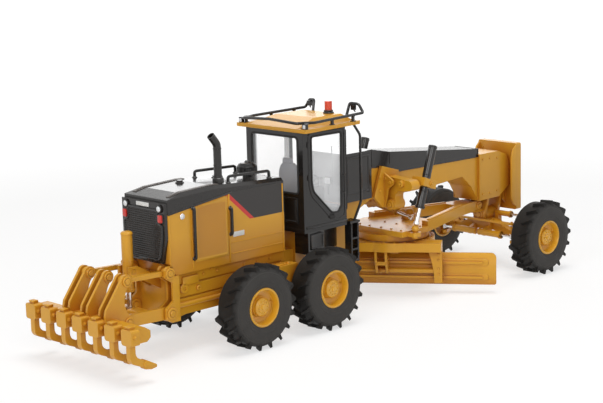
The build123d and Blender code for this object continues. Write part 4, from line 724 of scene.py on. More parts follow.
def pin_head(centre, way, boss, pin):
    """A ring boss with the head of its pin standing out of it, radii in mm."""
    return turned(centre, way, (
        (boss, 0), (boss, 0.3), (boss - 0.18, 0.45), (pin + 0.16, 0.45), (pin + 0.14, 0.25),
        (pin, 0.25), (pin, 0.55), (pin - 0.18, 0.7)))


def gland(centre, way, barrel, length=1.0):
    """The collar at a cylinder's mouth, on a barrel of a radius in mm."""
    return turned(centre, way, (
        (barrel + 0.12, 0), (barrel + 0.3, 0.12), (barrel + 0.3, length * 0.45),
        (barrel + 0.1, length * 0.55), (barrel + 0.1, length * 0.7),
        (barrel + 0.24, length * 0.8), (barrel + 0.24, length)))


def pick(obj, test):
    """Opens an object for editing with the faces selected that pass a test on centre and normal."""
    activate(obj)
    bpy.ops.object.mode_set(mode="EDIT")
    bpy.ops.mesh.select_mode(type="FACE")
    bpy.ops.mesh.select_all(action="DESELECT")
    mesh = bmesh.from_edit_mesh(obj.data)
    for face in mesh.faces:
        face.select_set(test(face.calc_center_median(), face.normal))
    bmesh.update_edit_mesh(obj.data)


def recess(obj, direction, border, depth):
    """Insets the faces that look along a direction and sinks them, in mm."""
    way = Vector(direction).normalized()
    pick(obj, lambda centre, normal: normal.dot(way) > 0.9)
    bpy.ops.mesh.inset(thickness=border * MM)
    bpy.ops.mesh.inset(thickness=0.12 * border * MM, depth=-depth * MM)
    bpy.ops.object.mode_set(mode="OBJECT")
    return obj


def soften(obj, width, segments=2):
    """Rounds the sharp edges of an object, width in mm."""
    activate(obj)
    modifier = obj.modifiers.new("soft_edges", "BEVEL")
    modifier.width = width * MM
    modifier.segments = segments
    modifier.limit_method = "ANGLE"
    modifier.angle_limit = SHARP_ANGLE
    bpy.ops.object.modifier_apply(modifier=modifier.name)
    return obj


def merge(objects):
    """Joins objects into the first."""
    deselect()
    for obj in objects:
        obj.select_set(True)
    bpy.context.view_layer.objects.active = objects[0]
    bpy.ops.object.join()
    return bpy.context.object


def turned_copy(obj, matrix):
    """A copy of an object with its own mesh, moved by a matrix."""
    copy = obj.copy()
    copy.data = obj.data.copy()
    copy.data.transform(matrix)
    if matrix.determinant() < 0:
        copy.data.flip_normals()
    bpy.context.collection.objects.link(copy)
    return copy


MIRROR = Matrix.Diagonal((1, -1, 1, 1))


def both_sides(obj):
    """The object and its twin on the other side, joined."""
    return merge([obj, turned_copy(obj, MIRROR)])


def repeat(template, places):
    """Copies of a template that stands on +Z, at points and directions, joined."""
    copies = [
        turned_copy(template, Matrix.Translation(point) @ stand(way).to_matrix().to_4x4())
        for point, way in places]
    bpy.data.objects.remove(template)
    return merge(copies)


def angles(count):
    """Angles evenly spaced round a circle."""
    return [2 * math.pi * index / count for index in range(count)]


def spread(first, last, count):
    """Numbers evenly spaced from the first to the last."""
    return [first + (last - first) * index / (count - 1) for index in range(count)]


def handrail(x, low, high, side, reach, radius):
    """The bent line of an upright handle on the right side."""
    return rounded([
        (x, -side, low), (x, -side - reach, low), (x, -side - reach, high), (x, -side, high)],
        radius, False)


def bolt_head(width, height):
    """A chamfered hexagon head on its washer, standing on +Z at the origin, in metres."""
    deselect()
    bpy.ops.mesh.primitive_cylinder_add(
        vertices=6, radius=width / 2, depth=height, location=(0, 0, height / 2))
    head = settle()
    pick(head, lambda centre, normal: normal.z > 0.9)
    bpy.ops.mesh.bevel(offset=width * 0.1, segments=1, affect="EDGES")
    bpy.ops.object.mode_set(mode="OBJECT")
    deselect()
    bpy.ops.mesh.primitive_cylinder_add(
        vertices=12, radius=width * 0.62, depth=height * 0.3, location=(0, 0, height * 0.15))
    return merge([head, settle()])


def fit(obj, name, body, finish="fitting_yellow"):
    """Names a finished piece, gives it its finish and hangs it on its body."""
    settle(obj)
    obj.name = name
    obj.data.name = name
    bpy.ops.object.shade_smooth_by_angle(angle=SHARP_ANGLE)
    obj.data.materials.clear()
    obj.data.materials.append(bpy.data.materials[finish])
    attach(obj, body)
    return obj


def bolts(name, body, width, places, height=0.45, finish="fitting_yellow"):
    """A set of bolt heads at stations in mm, each with the way it faces; the width in metres."""
    spots = [(at(*point), way) for point, way in places]
    return fit(repeat(bolt_head(width, width * height), spots), name, body, finish)


# Pieces
class GRADER_OT_stage(bpy.types.Operator):
    """Pale floor, soft studio light and the camera"""

    bl_idname = "grader.stage"
    bl_label = "Stage"

    def execute(self, context):
        colours = context.scene.grader_colours
        self.floor(colours)
        self.light(context)
        self.camera(context)
        return {"FINISHED"}

    def floor(self, colours):
        """A floor that turns white towards its edges and in the camera's eye."""
        deselect()
        bpy.ops.mesh.primitive_plane_add(size=8.0, location=(0, 0, 0))
        floor = bpy.context.object
        floor.name = "studio_floor"
        finish = Finish("studio_floor", roughness=0.9, specular_ior_level=0.0)
        x, y, _ = finish.axes()
        x = x + TANDEM_MIDDLE
        fade_length, pale_share, least_white, white_strength = 600.0, 0.45, 0.55, 1.12
        far = ((x * x + y * y).root() / fade_length - pale_share).clamped()
        camera_ray = finish.node("ShaderNodeLightPath", output="Is Camera Ray")
        glossy_ray, clear_ray = finish.others(camera_ray, "Is Glossy Ray", "Is Transmission Ray")
        seen = (camera_ray + glossy_ray + clear_ray).clamped()
        grain = finish.noise(0.05, 2.0)
        finish.set(base_color=finish.blend(grain, tuple(colours.floor), shade(colours.floor, 1.01)))
        white = finish.node(
            "ShaderNodeEmission", {}, {"Color": (1, 1, 1, 1), "Strength": white_strength})
        mixed = finish.node("ShaderNodeMixShader", {}, {
            0: (far + least_white).clamped() * seen,
            1: Wire(finish, finish.shader.outputs[0]),
            2: white})
        finish.link(mixed.socket, finish.surface.inputs["Surface"])
        floor.data.materials.append(finish.material)

    def light(self, context):
        """A white world to look at that lights only softly, and four softboxes."""
        fill_colour, fill_strength = (1.0, 0.985, 0.96, 1), 0.24
        world = bpy.data.worlds.new("studio")
        context.scene.world = world
        world.use_nodes = True
        tree = world.node_tree
        tree.nodes.clear()
        output = tree.nodes.new("ShaderNodeOutputWorld")
        path = tree.nodes.new("ShaderNodeLightPath")
        seen = None
        for name in ("Is Camera Ray", "Is Glossy Ray", "Is Transmission Ray"):
            add = tree.nodes.new("ShaderNodeMath")
            add.operation = "ADD"
            add.use_clamp = True
            tree.links.new(add.inputs[0], path.outputs[name])
            add.inputs[1].default_value = 0.0
            if seen:
                tree.links.new(add.inputs[1], seen)
            seen = add.outputs[0]
        fill = tree.nodes.new("ShaderNodeBackground")
        fill.inputs["Color"].default_value = fill_colour
        fill.inputs["Strength"].default_value = fill_strength
        white = tree.nodes.new("ShaderNodeBackground")
        white.inputs["Color"].default_value = (1, 1, 1, 1)
        mixed = tree.nodes.new("ShaderNodeMixShader")
        tree.links.new(mixed.inputs[0], seen)
        tree.links.new(mixed.inputs[1], fill.outputs[0])
        tree.links.new(mixed.inputs[2], white.outputs[0])
        tree.links.new(output.inputs["Surface"], mixed.outputs[0])
        lamps = (
            # name, place in m, size in m, watts
            ("top_softbox", (0.05, -0.10, 0.85), 0.60, 3.9),
            ("camera_softbox", (-0.50, -0.80, 0.45), 0.50, 2.2),
            ("rear_softbox", (-0.95, -0.20, 0.42), 0.50, 2.5),
            ("far_softbox", (0.60, 0.60, 0.31), 0.45, 0.75),
        )
        for name, place, size, watts in lamps:
            data = bpy.data.lights.new(name, "AREA")
            data.shape = "DISK"
            data.size = size
            data.energy = watts
            lamp = bpy.data.objects.new(name, data)
            lamp.location = place
            aim = Vector((0, 0, 0.03)) - Vector(place)
            lamp.rotation_euler = aim.to_track_quat("-Z", "Y").to_euler()
            context.collection.objects.link(lamp)
        context.scene.view_settings.view_transform = "Standard"

    def camera(self, context):
        """The photo's camera: its turn, tip and roll in degrees and its place in metres."""
        data = bpy.data.cameras.new("photo_camera")
        data.sensor_width = 36.0
        data.sensor_fit = "HORIZONTAL"
        data.lens = 93.71
        data.clip_start = 0.01
        camera = bpy.data.objects.new("photo_camera", data)
        turn, tip, roll = (math.radians(a) for a in (44.06, 10.56, -1.45))
        look = Vector((math.sin(turn) * math.cos(tip), math.cos(turn) * math.cos(tip), -math.sin(tip)))
        level = Vector((math.cos(turn), -math.sin(turn), 0))
        up = level.cross(look)
        right = level * math.cos(roll) + up * math.sin(roll)
        up = up * math.cos(roll) - level * math.sin(roll)
        camera.matrix_world = Matrix((right, up, -look)).transposed().to_4x4()
        camera.location = (-0.39273, -0.39660, 0.14350)
        context.collection.objects.link(camera)
        context.scene.camera = camera


class GRADER_OT_finishes(bpy.types.Operator):
    """Finishes of all the castings"""

    bl_idname = "grader.finishes"
    bl_label = "Finishes"

    def execute(self, context):
        colours = context.scene.grader_colours
        paint("casting_yellow", tuple(colours.yellow), 0.3)
        paint("fitting_yellow", tuple(colours.yellow), 0.1)
        satin("satin_black", tuple(colours.black), 0.2, 0.3)
        satin("rail_black", shade(colours.black, 0.6), 0.22, 0.1)
        satin("cab_black", shade(colours.black, 0.7), 0.2, 0.45)
        # the hood's slots are painted grey as a painted highlight on the black hood
        satin("slot_highlight_grey", shade(colours.black, 7.0), 0.3, 0.1)
        grille_screen("grille_screen", shade(colours.black, 2.0))
        hood_panels("panel_yellow", colours)
        mesh_door("door_mesh_yellow", tuple(colours.yellow))
        for wheel, place in WHEELS.items():
            tyre_rubber(f"{wheel}_rubber", place, colours)
            rim_paint(f"{wheel}_rim_yellow", place, tuple(colours.rim_yellow))
        bright_metal("bright_chrome", tuple(colours.chrome))
        clear_plastic("clear_glazing")
        moulded("seat_plastic", tuple(colours.seat), 0.5, 2.8)
        moulded("gasket_black", shade(colours.black, 0.5), 0.6, 6.0)
        lamp_cap("beacon_cap", tuple(colours.amber), 14.0)
        lamp_cap("lens_clear", (0.80, 0.82, 0.84), 10.0)
        lamp_cap("lens_red", tuple(colours.lamp_red), 12.0)
        rear_lamp_caps("rear_lamp_caps", colours)
        moulded("plate_white", (0.72, 0.72, 0.70), 0.4, 8.0)

        castings = {
            "panel_yellow": ["engine_side_panels"],
            "satin_black": [
                "hood_top", "radiator_grille", "exhaust_stack", "boom_cover", "roof_lamps",
                "lift_cylinder_left", "lift_cylinder_right"],
            "cab_black": ["cab_shell", "cab_base"],
            "rail_black": ["hood_fittings", "roof_rails"],
            "rear_lamp_caps": ["rear_lamps"],
            "beacon_cap": ["beacon"],
            "seat_plastic": ["cab_seat"],
            "clear_glazing": ["cab_glass"],
            "bright_chrome": [
                "lift_rod_left", "lift_rod_right", "shift_rod", "ripper_rod", "lean_rod",
                "steering_rods", "drawbar_ball"]}
        for wheel in WHEELS:
            castings[f"{wheel}_rubber"] = [f"{wheel}_tyre_{side}" for side, _ in SIDES]
            castings[f"{wheel}_rim_yellow"] = [f"{wheel}_rim_{side}" for side, _ in SIDES]
        finish_of = {name: finish for finish, names in castings.items() for name in names}
        for name, obj in NODES.items():
            obj.data.materials.clear()
            obj.data.materials.append(bpy.data.materials[finish_of.get(name, "casting_yellow")])
        return {"FINISHED"}


class GRADER_OT_wheels(bpy.types.Operator):
    """Wheel bolts, hub caps, rim beads and valves"""

    bl_idname = "grader.wheels"
    bl_label = "Wheel fittings"

    def execute(self, context):
        sizes = context.scene.grader_sizes
        hub_face, bolt_circle = 3.9, 1.95
        for wheel, tyre in WHEELS.items():
            x, middle, z = tyre.middle
            finish = f"{wheel}_rim_yellow"
            for side, hand in SIDES:
                body = f"{wheel}_wheel_{side}"
                out = (0, hand, 0)
                face = hand * (middle + hub_face)
                spots = [
                    ((x + bolt_circle * math.cos(a), face, z + bolt_circle * math.sin(a)), out)
                    for a in angles(sizes.wheel_bolts)]
                bolts(f"{wheel}_wheel_bolts_{side}", body, sizes.wheel_bolt, spots, 0.5, finish)
                cap = rod((x, face - hand * 0.1, z), (x, face + hand * 0.35, z), 0.95, 24, 0.8)
                soften(cap, 0.08)
                # radius, distance from the wheel's middle and thickness of each bead
                beads = [
                    ring((x, hand * (middle + offset), z), out, radius, thick, 48)
                    for radius, offset, thick in (
                        (6.15, 4.45, 0.28), (5.35, 2.3, 0.22), (3.35, 2.4, 0.16))]
                valve = rod(
                    (x + 4.6, hand * (middle + 2.0), z + 1.0),
                    (x + 4.9, hand * (middle + 3.2), z + 1.1), 0.16, 8)
                fit(merge([cap, *beads, valve]), f"{wheel}_hub_{side}", body, finish)
        return {"FINISHED"}


class GRADER_OT_hood(bpy.types.Operator):
    """Slots, doors, seams, screen, plates and lamps of the hood"""

    bl_idname = "grader.hood"
    bl_label = "Hood fittings"

    def execute(self, context):
        sizes = context.scene.grader_sizes
        self.slots(sizes)
        self.sides()
        self.screen(sizes)
        self.lamps()
        self.top()
        return {"FINISHED"}

    def slots(self, sizes):
        """Two rows of slots along the top's edges, paler grey than the black hood as a painted
        highlight.
        """
        start, row, side = -41.0, 20.5, 8.7
        slots = []
        for x in spread(start, start + row, sizes.hood_slots):
            slot = block((x, -side, hood_height(x) + 0.06), (0.46, 1.9, 0.46))
            slots.append(soften(slot, 0.08))
        fit(both_sides(merge(slots)), "hood_slots", "rear_frame", "slot_highlight_grey")

    def sides(self):
        """Mesh doors, mouldings, lips, lamps and plates of the side panels."""
        inside = -HOOD.y1 + 0.1
        front, rear = -17.9, -32.4
        door = slab(
            ((rear, inside, 30.4), (front, inside, 30.4), (front, inside, 50.5), (rear, inside, 48.6)),
            (0, -0.35, 0))
        recess(door, RIGHT, 0.8, 0.1)
        fit(both_sides(soften(door, 0.1)), "mesh_doors", "rear_frame", "door_mesh_yellow")

        # station, height, length and depth of each moulding
        strips = [
            soften(block((x, -HOOD.y1, z), (length, 0.4, depth)), 0.1)
            for x, z, length, depth in (
                (-4.6, 34.4, 23.8, 0.35), (-4.6, 30.6, 23.8, 0.35), (-17.2, 39.4, 0.7, 23.4),
                (-33.4, 38.6, 0.5, 20.2), (7.4, 39.4, 0.5, 23.6), (-43.0, 37.8, 0.5, 19.6))]
        fit(both_sides(merge(strips)), "panel_mouldings", "rear_frame")
        lip_end, lip_height = -15.6, 0.8
        lip = slab(
            ((HOOD.x0, inside, 47.5), (lip_end, inside, 51.1), (lip_end, inside, 51.1 + lip_height),
             (HOOD.x0, inside, 47.5 + lip_height)), (0, -0.3, 0))
        fit(both_sides(soften(lip, 0.1)), "hood_lips", "rear_frame", "satin_black")

        lamp = Vector((-37.5, -HOOD.y1, 46.5))
        lamp_ring = turned(lamp, RIGHT, (
            (1.0, -0.1), (1.0, 0.25), (0.85, 0.4), (0.72, 0.4), (0.68, 0.15)))
        fit(both_sides(lamp_ring), "side_lamp_rings", "rear_frame", "bright_chrome")
        lens = dome(lamp - Vector((0, 0.1, 0)), RIGHT, 0.62, 0.45)
        fit(both_sides(lens), "side_lamp_lenses", "rear_frame", "lens_clear")
        plate = soften(block((-13.2, -HOOD.y1 - 0.05, 37.0), (5.0, 0.3, 1.7)), 0.12)
        fit(both_sides(plate), "side_plates", "rear_frame", "plate_white")

    def screen(self, sizes):
        """Wire screen in its stepped frame over the radiator."""
        face = GRILLE.x0 + 0.1
        low, high, foot, waist, brow = 32.8, 49.2, 7.9, 9.7, 7.5
        outline = rounded([
            (face, y, z) for y, z in (
                (-foot, low), (foot, low), (waist, 40.4), (waist, 44.4), (brow, 45.2), (brow, high),
                (-brow, high), (-brow, 45.2), (-waist, 44.4), (-waist, 40.4))], 0.8)
        core = slab(outline, (-0.25, 0, 0))
        fit(core, "grille_screen", "rear_frame", "grille_screen")
        frame_bar = pipe([(x - 0.25, y, z) for x, y, z in outline], 0.42, True)
        fit(frame_bar, "grille_frame", "rear_frame", "rail_black")
        wires = []
        for z in spread(low + 0.6, high - 0.5, sizes.grille_rows):
            half = brow - 0.2 if z > 44.9 else min(waist - 0.3, foot + (z - low) * 0.24 - 0.2)
            wires.append(block((face - 0.35, 0, z), (0.3, 2 * half, 0.32)))
        rib_side = 6.9
        for y in spread(-rib_side, rib_side, sizes.grille_ribs):
            wires.append(block((face - 0.28, y, (low + high) / 2), (0.2, 0.14, high - low - 0.2)))
        fit(soften(merge(wires), 0.07, 1), "grille_wires", "rear_frame", "rail_black")
        plate = soften(block((face - 0.2, 0, 50.5), (0.4, 6.4, 1.3)), 0.15)
        fit(plate, "rear_plate", "rear_frame", "plate_white")

    def lamps(self):
        """Bezels and lenses of the work lamps and the tail lamps."""
        work, tail = Vector((GRILLE.x0 - 0.5, -8.6, 49.8)), Vector((GRILLE.x0 - 0.5, -9.1, 46.6))
        bezels = [
            turned(work + Vector((0.6, 0, 0)), BACK, (
                (1.4, 0), (1.4, 0.55), (1.25, 0.75), (1.02, 0.75), (1.0, 0.3)), 28),
            soften(block(tail + Vector((0.45, 0, 0)), (0.5, 2.7, 3.2)), 0.3)]
        fit(both_sides(merge(bezels)), "rear_lamp_bezels", "rear_frame", "rail_black")
        fit(both_sides(dome(work, BACK, 0.95, 0.4)), "work_lamp_lenses", "rear_frame", "lens_clear")
        red = soften(block(tail, (0.7, 1.9, 2.4)), 0.25)
        fit(both_sides(red), "tail_lamp_lenses", "rear_frame", "lens_red")

    def top(self):
        """Collars, caps and ribs on the hood's top, and the feet of the door handles."""
        stack, cleaner = (-18.0, -7.0), (1.4, 0)
        parts = [turned((*stack, 55.6), UP, ((1.9, 0), (1.9, 0.4), (1.6, 0.7), (1.6, 1.3)))]
        parts += [ring((*stack, z), UP, 1.4, 0.14) for z in (60.5, 66.0)]
        parts.append(turned((*cleaner, 57.8), UP, (
            (2.6, 0), (2.4, 0.3), (0.9, 0.5), (0.6, 0.9), (0.4, 1.1))))
        parts += [ring((*cleaner, z), UP, 3.4, 0.18, 40) for z in (54.9, 56.9)]
        slats, slat_circle = 28, 3.38
        for angle in angles(slats):
            parts.append(block(
                (cleaner[0] + slat_circle * math.cos(angle), slat_circle * math.sin(angle), 55.9),
                (0.2, 0.2, 1.9)))
        # station and side of each filler cap
        for x, y in ((-26.0, 3.4), (-9.5, 4.0)):
            parts.append(turned((x, y, hood_height(x) - 0.1), UP, (
                (1.5, 0), (1.5, 0.35), (1.2, 0.5), (1.1, 0.5), (1.1, 0.9), (0.9, 1.05))))
        for x in HOOD_RAIL_ENDS:
            for hand in HANDS:
                parts.append(turned((x, hand * HOOD_RAIL_SIDE, hood_height(x) - 0.2), UP, (
                    (0.9, 0), (0.9, 0.4), (0.6, 0.65))))
        fit(merge(parts), "hood_collars", "rear_frame", "satin_black")
        feet = [
            turned((x, -HOOD.y1 - 0.1, z), RIGHT, ((0.75, 0), (0.75, 0.2), (0.5, 0.4)), 16)
            for x, *ends in DOOR_HANDLES for z in ends]
        fit(both_sides(merge(feet)), "handle_feet", "rear_frame", "rail_black")


class GRADER_OT_cab(bpy.types.Operator):
    """Window seals, doors, panels, lamps, seat, controls and steps of the cab"""

    bl_idname = "grader.cab"
    bl_label = "Cab fittings"

    def execute(self, context):
        self.windows()
        self.doors()
        self.panels()
        self.lamps()
        self.roof()
        self.seat()
        self.controls()
        self.steps()
        return {"FINISHED"}

    def windows(self):
        """Rubber seals of the door, corner, rear and front windows."""
        sill, lintel = 38.2, 66.2
        # station and side of the corner pane's two edges
        rear_edge, front_edge = (36.16, -13.68), (38.34, -11.62)
        seals = [
            pipe(rounded([(x, -CAB.y1, z) for x, z in DOOR_WINDOW], 1.1), 0.34, True),
            pipe(rounded([
                (*rear_edge, sill), (*front_edge, sill), (*front_edge, lintel), (*rear_edge, lintel)],
                0.9), 0.3, True)]
        fit(both_sides(merge(seals)), "side_window_seals", "front_frame", "gasket_black")
        # station, half width and sill of the rear window and the front one
        ends = [
            pipe(rounded([(x, y, z) for y, z in (
                (-half, low), (half, low), (half, lintel), (-half, lintel))], 1.4), 0.36, True)
            for x, half, low in ((CAB.x0, 11.7, 46.4), (CAB.x1, 9.8, sill))]
        fit(merge(ends), "end_window_seals", "front_frame", "gasket_black")

    def doors(self):
        """Edges, hinges, sills, handles and grips of the two doors."""
        edge = pipe(rounded([(x, -CAB.y1, z) for x, z in DOOR_EDGE], 1.4), 0.26, True)
        hinge_x, hinge_y = DOOR_EDGE[0][0] - 0.2, -CAB.y1 - 0.15
        hinges = [
            rod((hinge_x, hinge_y, z - 0.9), (hinge_x, hinge_y, z + 0.9), 0.42, 14)
            for z in (52.0, 63.5)]
        sill = soften(block((25.6, -CAB.y1, 34.5), (20.0, 0.7, 0.9)), 0.2)
        fit(both_sides(merge([edge, *hinges, sill])), "door_frames", "front_frame", "cab_black")
        latch_x, latch_z = 28.0, 36.9
        handle = soften(block((latch_x, -CAB.y1 - 0.3, latch_z), (2.8, 0.5, 0.9)), 0.22)
        cup = turned((latch_x, -CAB.y1, latch_z), RIGHT, (
            (1.15, -0.1), (1.15, 0.15), (0.95, 0.25), (0.85, 0.1)))
        grip_x, grip_low, grip_high = 33.95, 45.0, 51.0
        grip = pipe(handrail(grip_x, grip_low, grip_high, CAB.y1, 0.8, 0.4), 0.22)
        fit(both_sides(merge([handle, cup, grip])), "door_handles", "front_frame", "gasket_black")

    def panels(self):
        """Sunk panels under the windows, on the boom cover and on the tanks, and the wiper."""
        panels = [
            recess(block((CAB.x0 - 0.1, y, 40.4), (0.5, 7.6, 9.0)), BACK, 0.7, 0.3)
            for y in (-7.4, 7.4)]
        panels.append(recess(block((CAB.x1 + 0.1, 0, 36.0), (0.5, 16.0, 2.8)), AHEAD, 0.5, 0.25))
        side = recess(block((48.3, -COVER.y1, 48.3), (12.0, 0.5, 14.0)), RIGHT, 0.8, 0.3)
        tank = recess(block((22.4, -12.0, 28.6), (6.4, 1.0, 5.6)), RIGHT, 0.6, 0.25)
        panels += [side, turned_copy(side, MIRROR), tank, turned_copy(tank, MIRROR)]
        fit(soften(merge(panels), 0.12), "cab_panels", "front_frame", "cab_black")
        pivot, blade_y, blade_z = Vector((CAB.x1 + 0.3, 2.6, 38.0)), -3.6, 52.0
        wipers = [
            turned(pivot, AHEAD, ((0.6, -0.2), (0.6, 0.35), (0.4, 0.5)), 14),
            pipe([pivot + Vector((0.3, 0, 0)), (CAB.x1 + 0.65, blade_y, blade_z)], 0.16),
            block((CAB.x1 + 0.4, blade_y, blade_z), (0.3, 0.3, 15.0))]
        fit(merge(wipers), "wipers", "front_frame", "gasket_black")

    def lamps(self):
        """Lenses and shades of the roof's four lamps, and the beacon's foot."""
        # middle of the face of the rear lamp and of the front one
        rear_lamp, front_lamp = Vector((13.6, -16.2, 70.25)), Vector((44.05, -11.0, 73.55))
        lenses = [block(lamp, (0.25, 1.2, 1.3)) for lamp in (rear_lamp, front_lamp)]
        fit(both_sides(soften(merge(lenses), 0.1)), "roof_lamp_lenses", "front_frame", "lens_clear")
        shade_size = (1.6, 1.9, 0.25)
        shades = [
            soften(block(rear_lamp + Vector((0.8, 0, 0.95)), shade_size), 0.08),
            soften(block(front_lamp + Vector((-0.75, 0, 0.9)), shade_size), 0.08),
            soften(block(rear_lamp + Vector((0.7, 0, -0.55)), (0.6, 0.6, 1.0)), 0.08),
            pipe([
                front_lamp + Vector((-0.65, 0, -0.65)), front_lamp + Vector((-0.15, -0.4, -1.55))],
                0.25)]
        fit(both_sides(merge(shades)), "roof_lamp_hoods", "front_frame", "rail_black")
        foot = (BEACON.middle.x, BEACON.middle.y, BEACON.z0 - 0.1)
        base = turned(foot, UP, (
            (2.0, 0), (2.0, 0.45), (1.7, 0.65), (1.7, 1.2), (1.5, 1.35)), 32)
        fit(base, "beacon_base", "front_frame", "rail_black")

    def roof(self):
        """Clips of the roof's rails, ribs along the roof and its drip edge."""
        clips = []
        # station and side of each clip
        for x, y in ((15.0, -14.6), (28.0, -15.45), (39.0, -14.9)):
            clips.append(soften(block((x, y, ROOF_EDGE + 0.1), (1.8, 1.2, 0.4)), 0.1))
            clips.append(rod(
                (x - 0.5, y - 0.1, ROOF_EDGE + 2.0), (x + 0.5, y - 0.1, ROOF_EDGE + 2.0), 0.52, 14))
        fit(both_sides(merge(clips)), "rail_clips", "front_frame", "rail_black")
        ribs = [
            soften(block((27.0, y, ROOF_EDGE - 0.2), (26.5, 0.5, 0.5)), 0.15) for y in (-13.6, 13.6)]
        front_half = 15.0
        drip = pipe(rounded([(x, y, ROOF.z0 + 0.1) for x, y in (
            (ROOF.x0, ROOF.y1), (ROOF.x0, -ROOF.y1), (ROOF.x1, -front_half), (ROOF.x1, front_half))],
            0.8), 0.22, True)
        fit(merge([*ribs, drip]), "roof_edges", "front_frame")

    def seat(self):
        """Cushion, winged back, headrest and foot of the seat."""
        cushion = soften(block((24.4, 0, 41.9), (9.2, 9.6, 2.6)), 0.9, 4)
        back = slab(rounded([
            (20.4, y, z) for y, z in (
                (-4.4, 42.4), (4.4, 42.4), (4.6, 52.4), (2.9, 55.6), (-2.9, 55.6), (-4.6, 52.4))],
            1.5), (2.0, 0, 0))
        wings = [soften(block((22.2, y, 48.6), (1.8, 1.5, 8.6)), 0.6, 3) for y in (-3.7, 3.7)]
        head = soften(block((20.9, 0, 56.2), (1.6, 4.6, 2.2)), 0.7, 3)
        foot = turned((24.0, 0, CAB_FLOOR), UP, (
            (3.4, 0), (3.4, 0.5), (2.2, 0.9), (2.0, 3.6), (3.2, 5.2)))
        seat = merge([cushion, soften(back, 0.6, 3), *wings, head, foot])
        fit(seat, "driver_seat", "front_frame", "seat_plastic")
        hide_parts("cab_seat")

    def controls(self):
        """Consoles with their levers, the column with its wheel, pedals and the screen."""
        parts = []
        for y in (-7.4, 7.4):
            parts.append(soften(block((26.2, y, 44.0), (8.6, 2.6, 5.6)), 0.6, 3))
            parts.append(soften(block((24.6, y, 47.4), (6.0, 2.4, 1.2)), 0.5, 3))
            for x in (28.4, 29.8):
                parts.append(rod((x, y, 46.4), (x + 0.3, y, 49.2), 0.2, 10))
                parts.append(turned((x + 0.3, y, 49.0), UP, (
                    (0.3, 0), (0.55, 0.3), (0.55, 0.7), (0.3, 1.0)), 14))
            parts.append(rod((26.2, y, CAB_FLOOR - 0.1), (26.2, y, 41.6), 0.9, 16))
        hub, wheel_axis, wheel_radius = Vector((31.8, 0, 48.2)), Vector((-0.45, 0, 0.9)), 2.5
        screen_y, screen_z = -5.4, 47.6
        parts += [
            soften(block((34.6, 0, 40.0), (2.4, 5.6, 9.2)), 0.5, 3),
            rod((34.0, 0, 43.6), (31.9, 0, 48.0), 0.5, 16),
            ring(hub, wheel_axis, wheel_radius, 0.26, 36),
            turned(hub, wheel_axis, ((0.7, -0.3), (0.7, 0.2), (0.4, 0.4)), 16),
            soften(block((35.4, screen_y, screen_z), (0.7, 3.6, 2.8)), 0.25),
            rod((35.6, screen_y, 42.6), (35.6, screen_y, 46.6), 0.3, 10)]
        parts += [soften(block((33.4, y, 36.2), (2.4, 1.6, 0.4)), 0.15) for y in (-2.6, 2.6)]
        tilt = wheel_axis.normalized()
        for angle in (90, 210, 330):
            turn = math.radians(angle)
            spoke = Vector((math.cos(turn) * tilt.z, math.sin(turn), -math.cos(turn) * tilt.x))
            parts.append(rod(hub, hub + spoke * wheel_radius, 0.18, 8))
        fit(merge(parts), "cab_controls", "front_frame", "gasket_black")
        screen = block((35.0, screen_y, screen_z), (0.12, 3.0, 2.2))
        fit(soften(screen, 0.05), "cab_screen", "front_frame", "lens_clear")

    def steps(self):
        """Treads of the ladders and gratings of the platforms."""
        ladder, parts = (38.6, 41.9), []
        for z in (19.2, 23.2, 27.2):
            for x in (39.2, 40.25, 41.3):
                parts.append(block((x, -12.1, z + 0.05), (0.28, 3.0, 0.22)))
        for index in range(7):
            parts.append(block((38.2 + 0.6 * index, -11.9, 33.45), (0.22, 4.0, 0.16)))
        for x in ladder:
            for z in (31.6, 20.8):
                parts.append(turned((x, -13.75, z), RIGHT, ((0.3, 0), (0.3, 0.15), (0.2, 0.25)), 8))
        fit(both_sides(merge(parts)), "step_treads", "front_frame", "rail_black")


class GRADER_OT_rails(bpy.types.Operator):
    """Painted sleeves of the rails and handles"""

    bl_idname = "grader.rails"
    bl_label = "Rails"

    def execute(self, context):
        radius = context.scene.grader_sizes.rail / MM / 2
        rear, front = HOOD_RAIL_ENDS
        hood = [pipe(rounded([(x, -HOOD_RAIL_SIDE, z) for x, z in (
            (rear, 54.2), (rear, 56.4), (front, 55.8), (front, 53.3))], 0.9, False), radius)]
        hood += [
            pipe(handrail(x, low, high, HOOD.y1, 0.95, 0.5), radius) for x, low, high in DOOR_HANDLES]
        fit(both_sides(merge(hood)), "hood_rails", "rear_frame", "rail_black")
        # station, side and height over the roof's edge of each bend
        roof_rail = [(x, -y, ROOF_EDGE + rise) for x, y, rise in (
            (12.5, 0, 2.6), (12.5, 13.4, 2.0), (19.0, 16.0, 1.8), (44.6, 14.6, 2.4),
            (44.6, 12.4, 5.4), (43.6, 9.0, 5.6), (41.95, 8.4, -0.2))]
        cab_rail = [
            (40.2, -13.9, ROOF.z0), (43.4, -14.0, 64.0), (43.8, -13.6, 40.0), (41.2, -12.6, 33.4)]
        roof = [
            pipe(rounded(roof_rail, 0.8, False), radius),
            pipe(rounded(cab_rail, 1.0, False), radius * 0.9)]
        fit(both_sides(merge(roof)), "cab_rails", "front_frame", "rail_black")
        return {"FINISHED"}


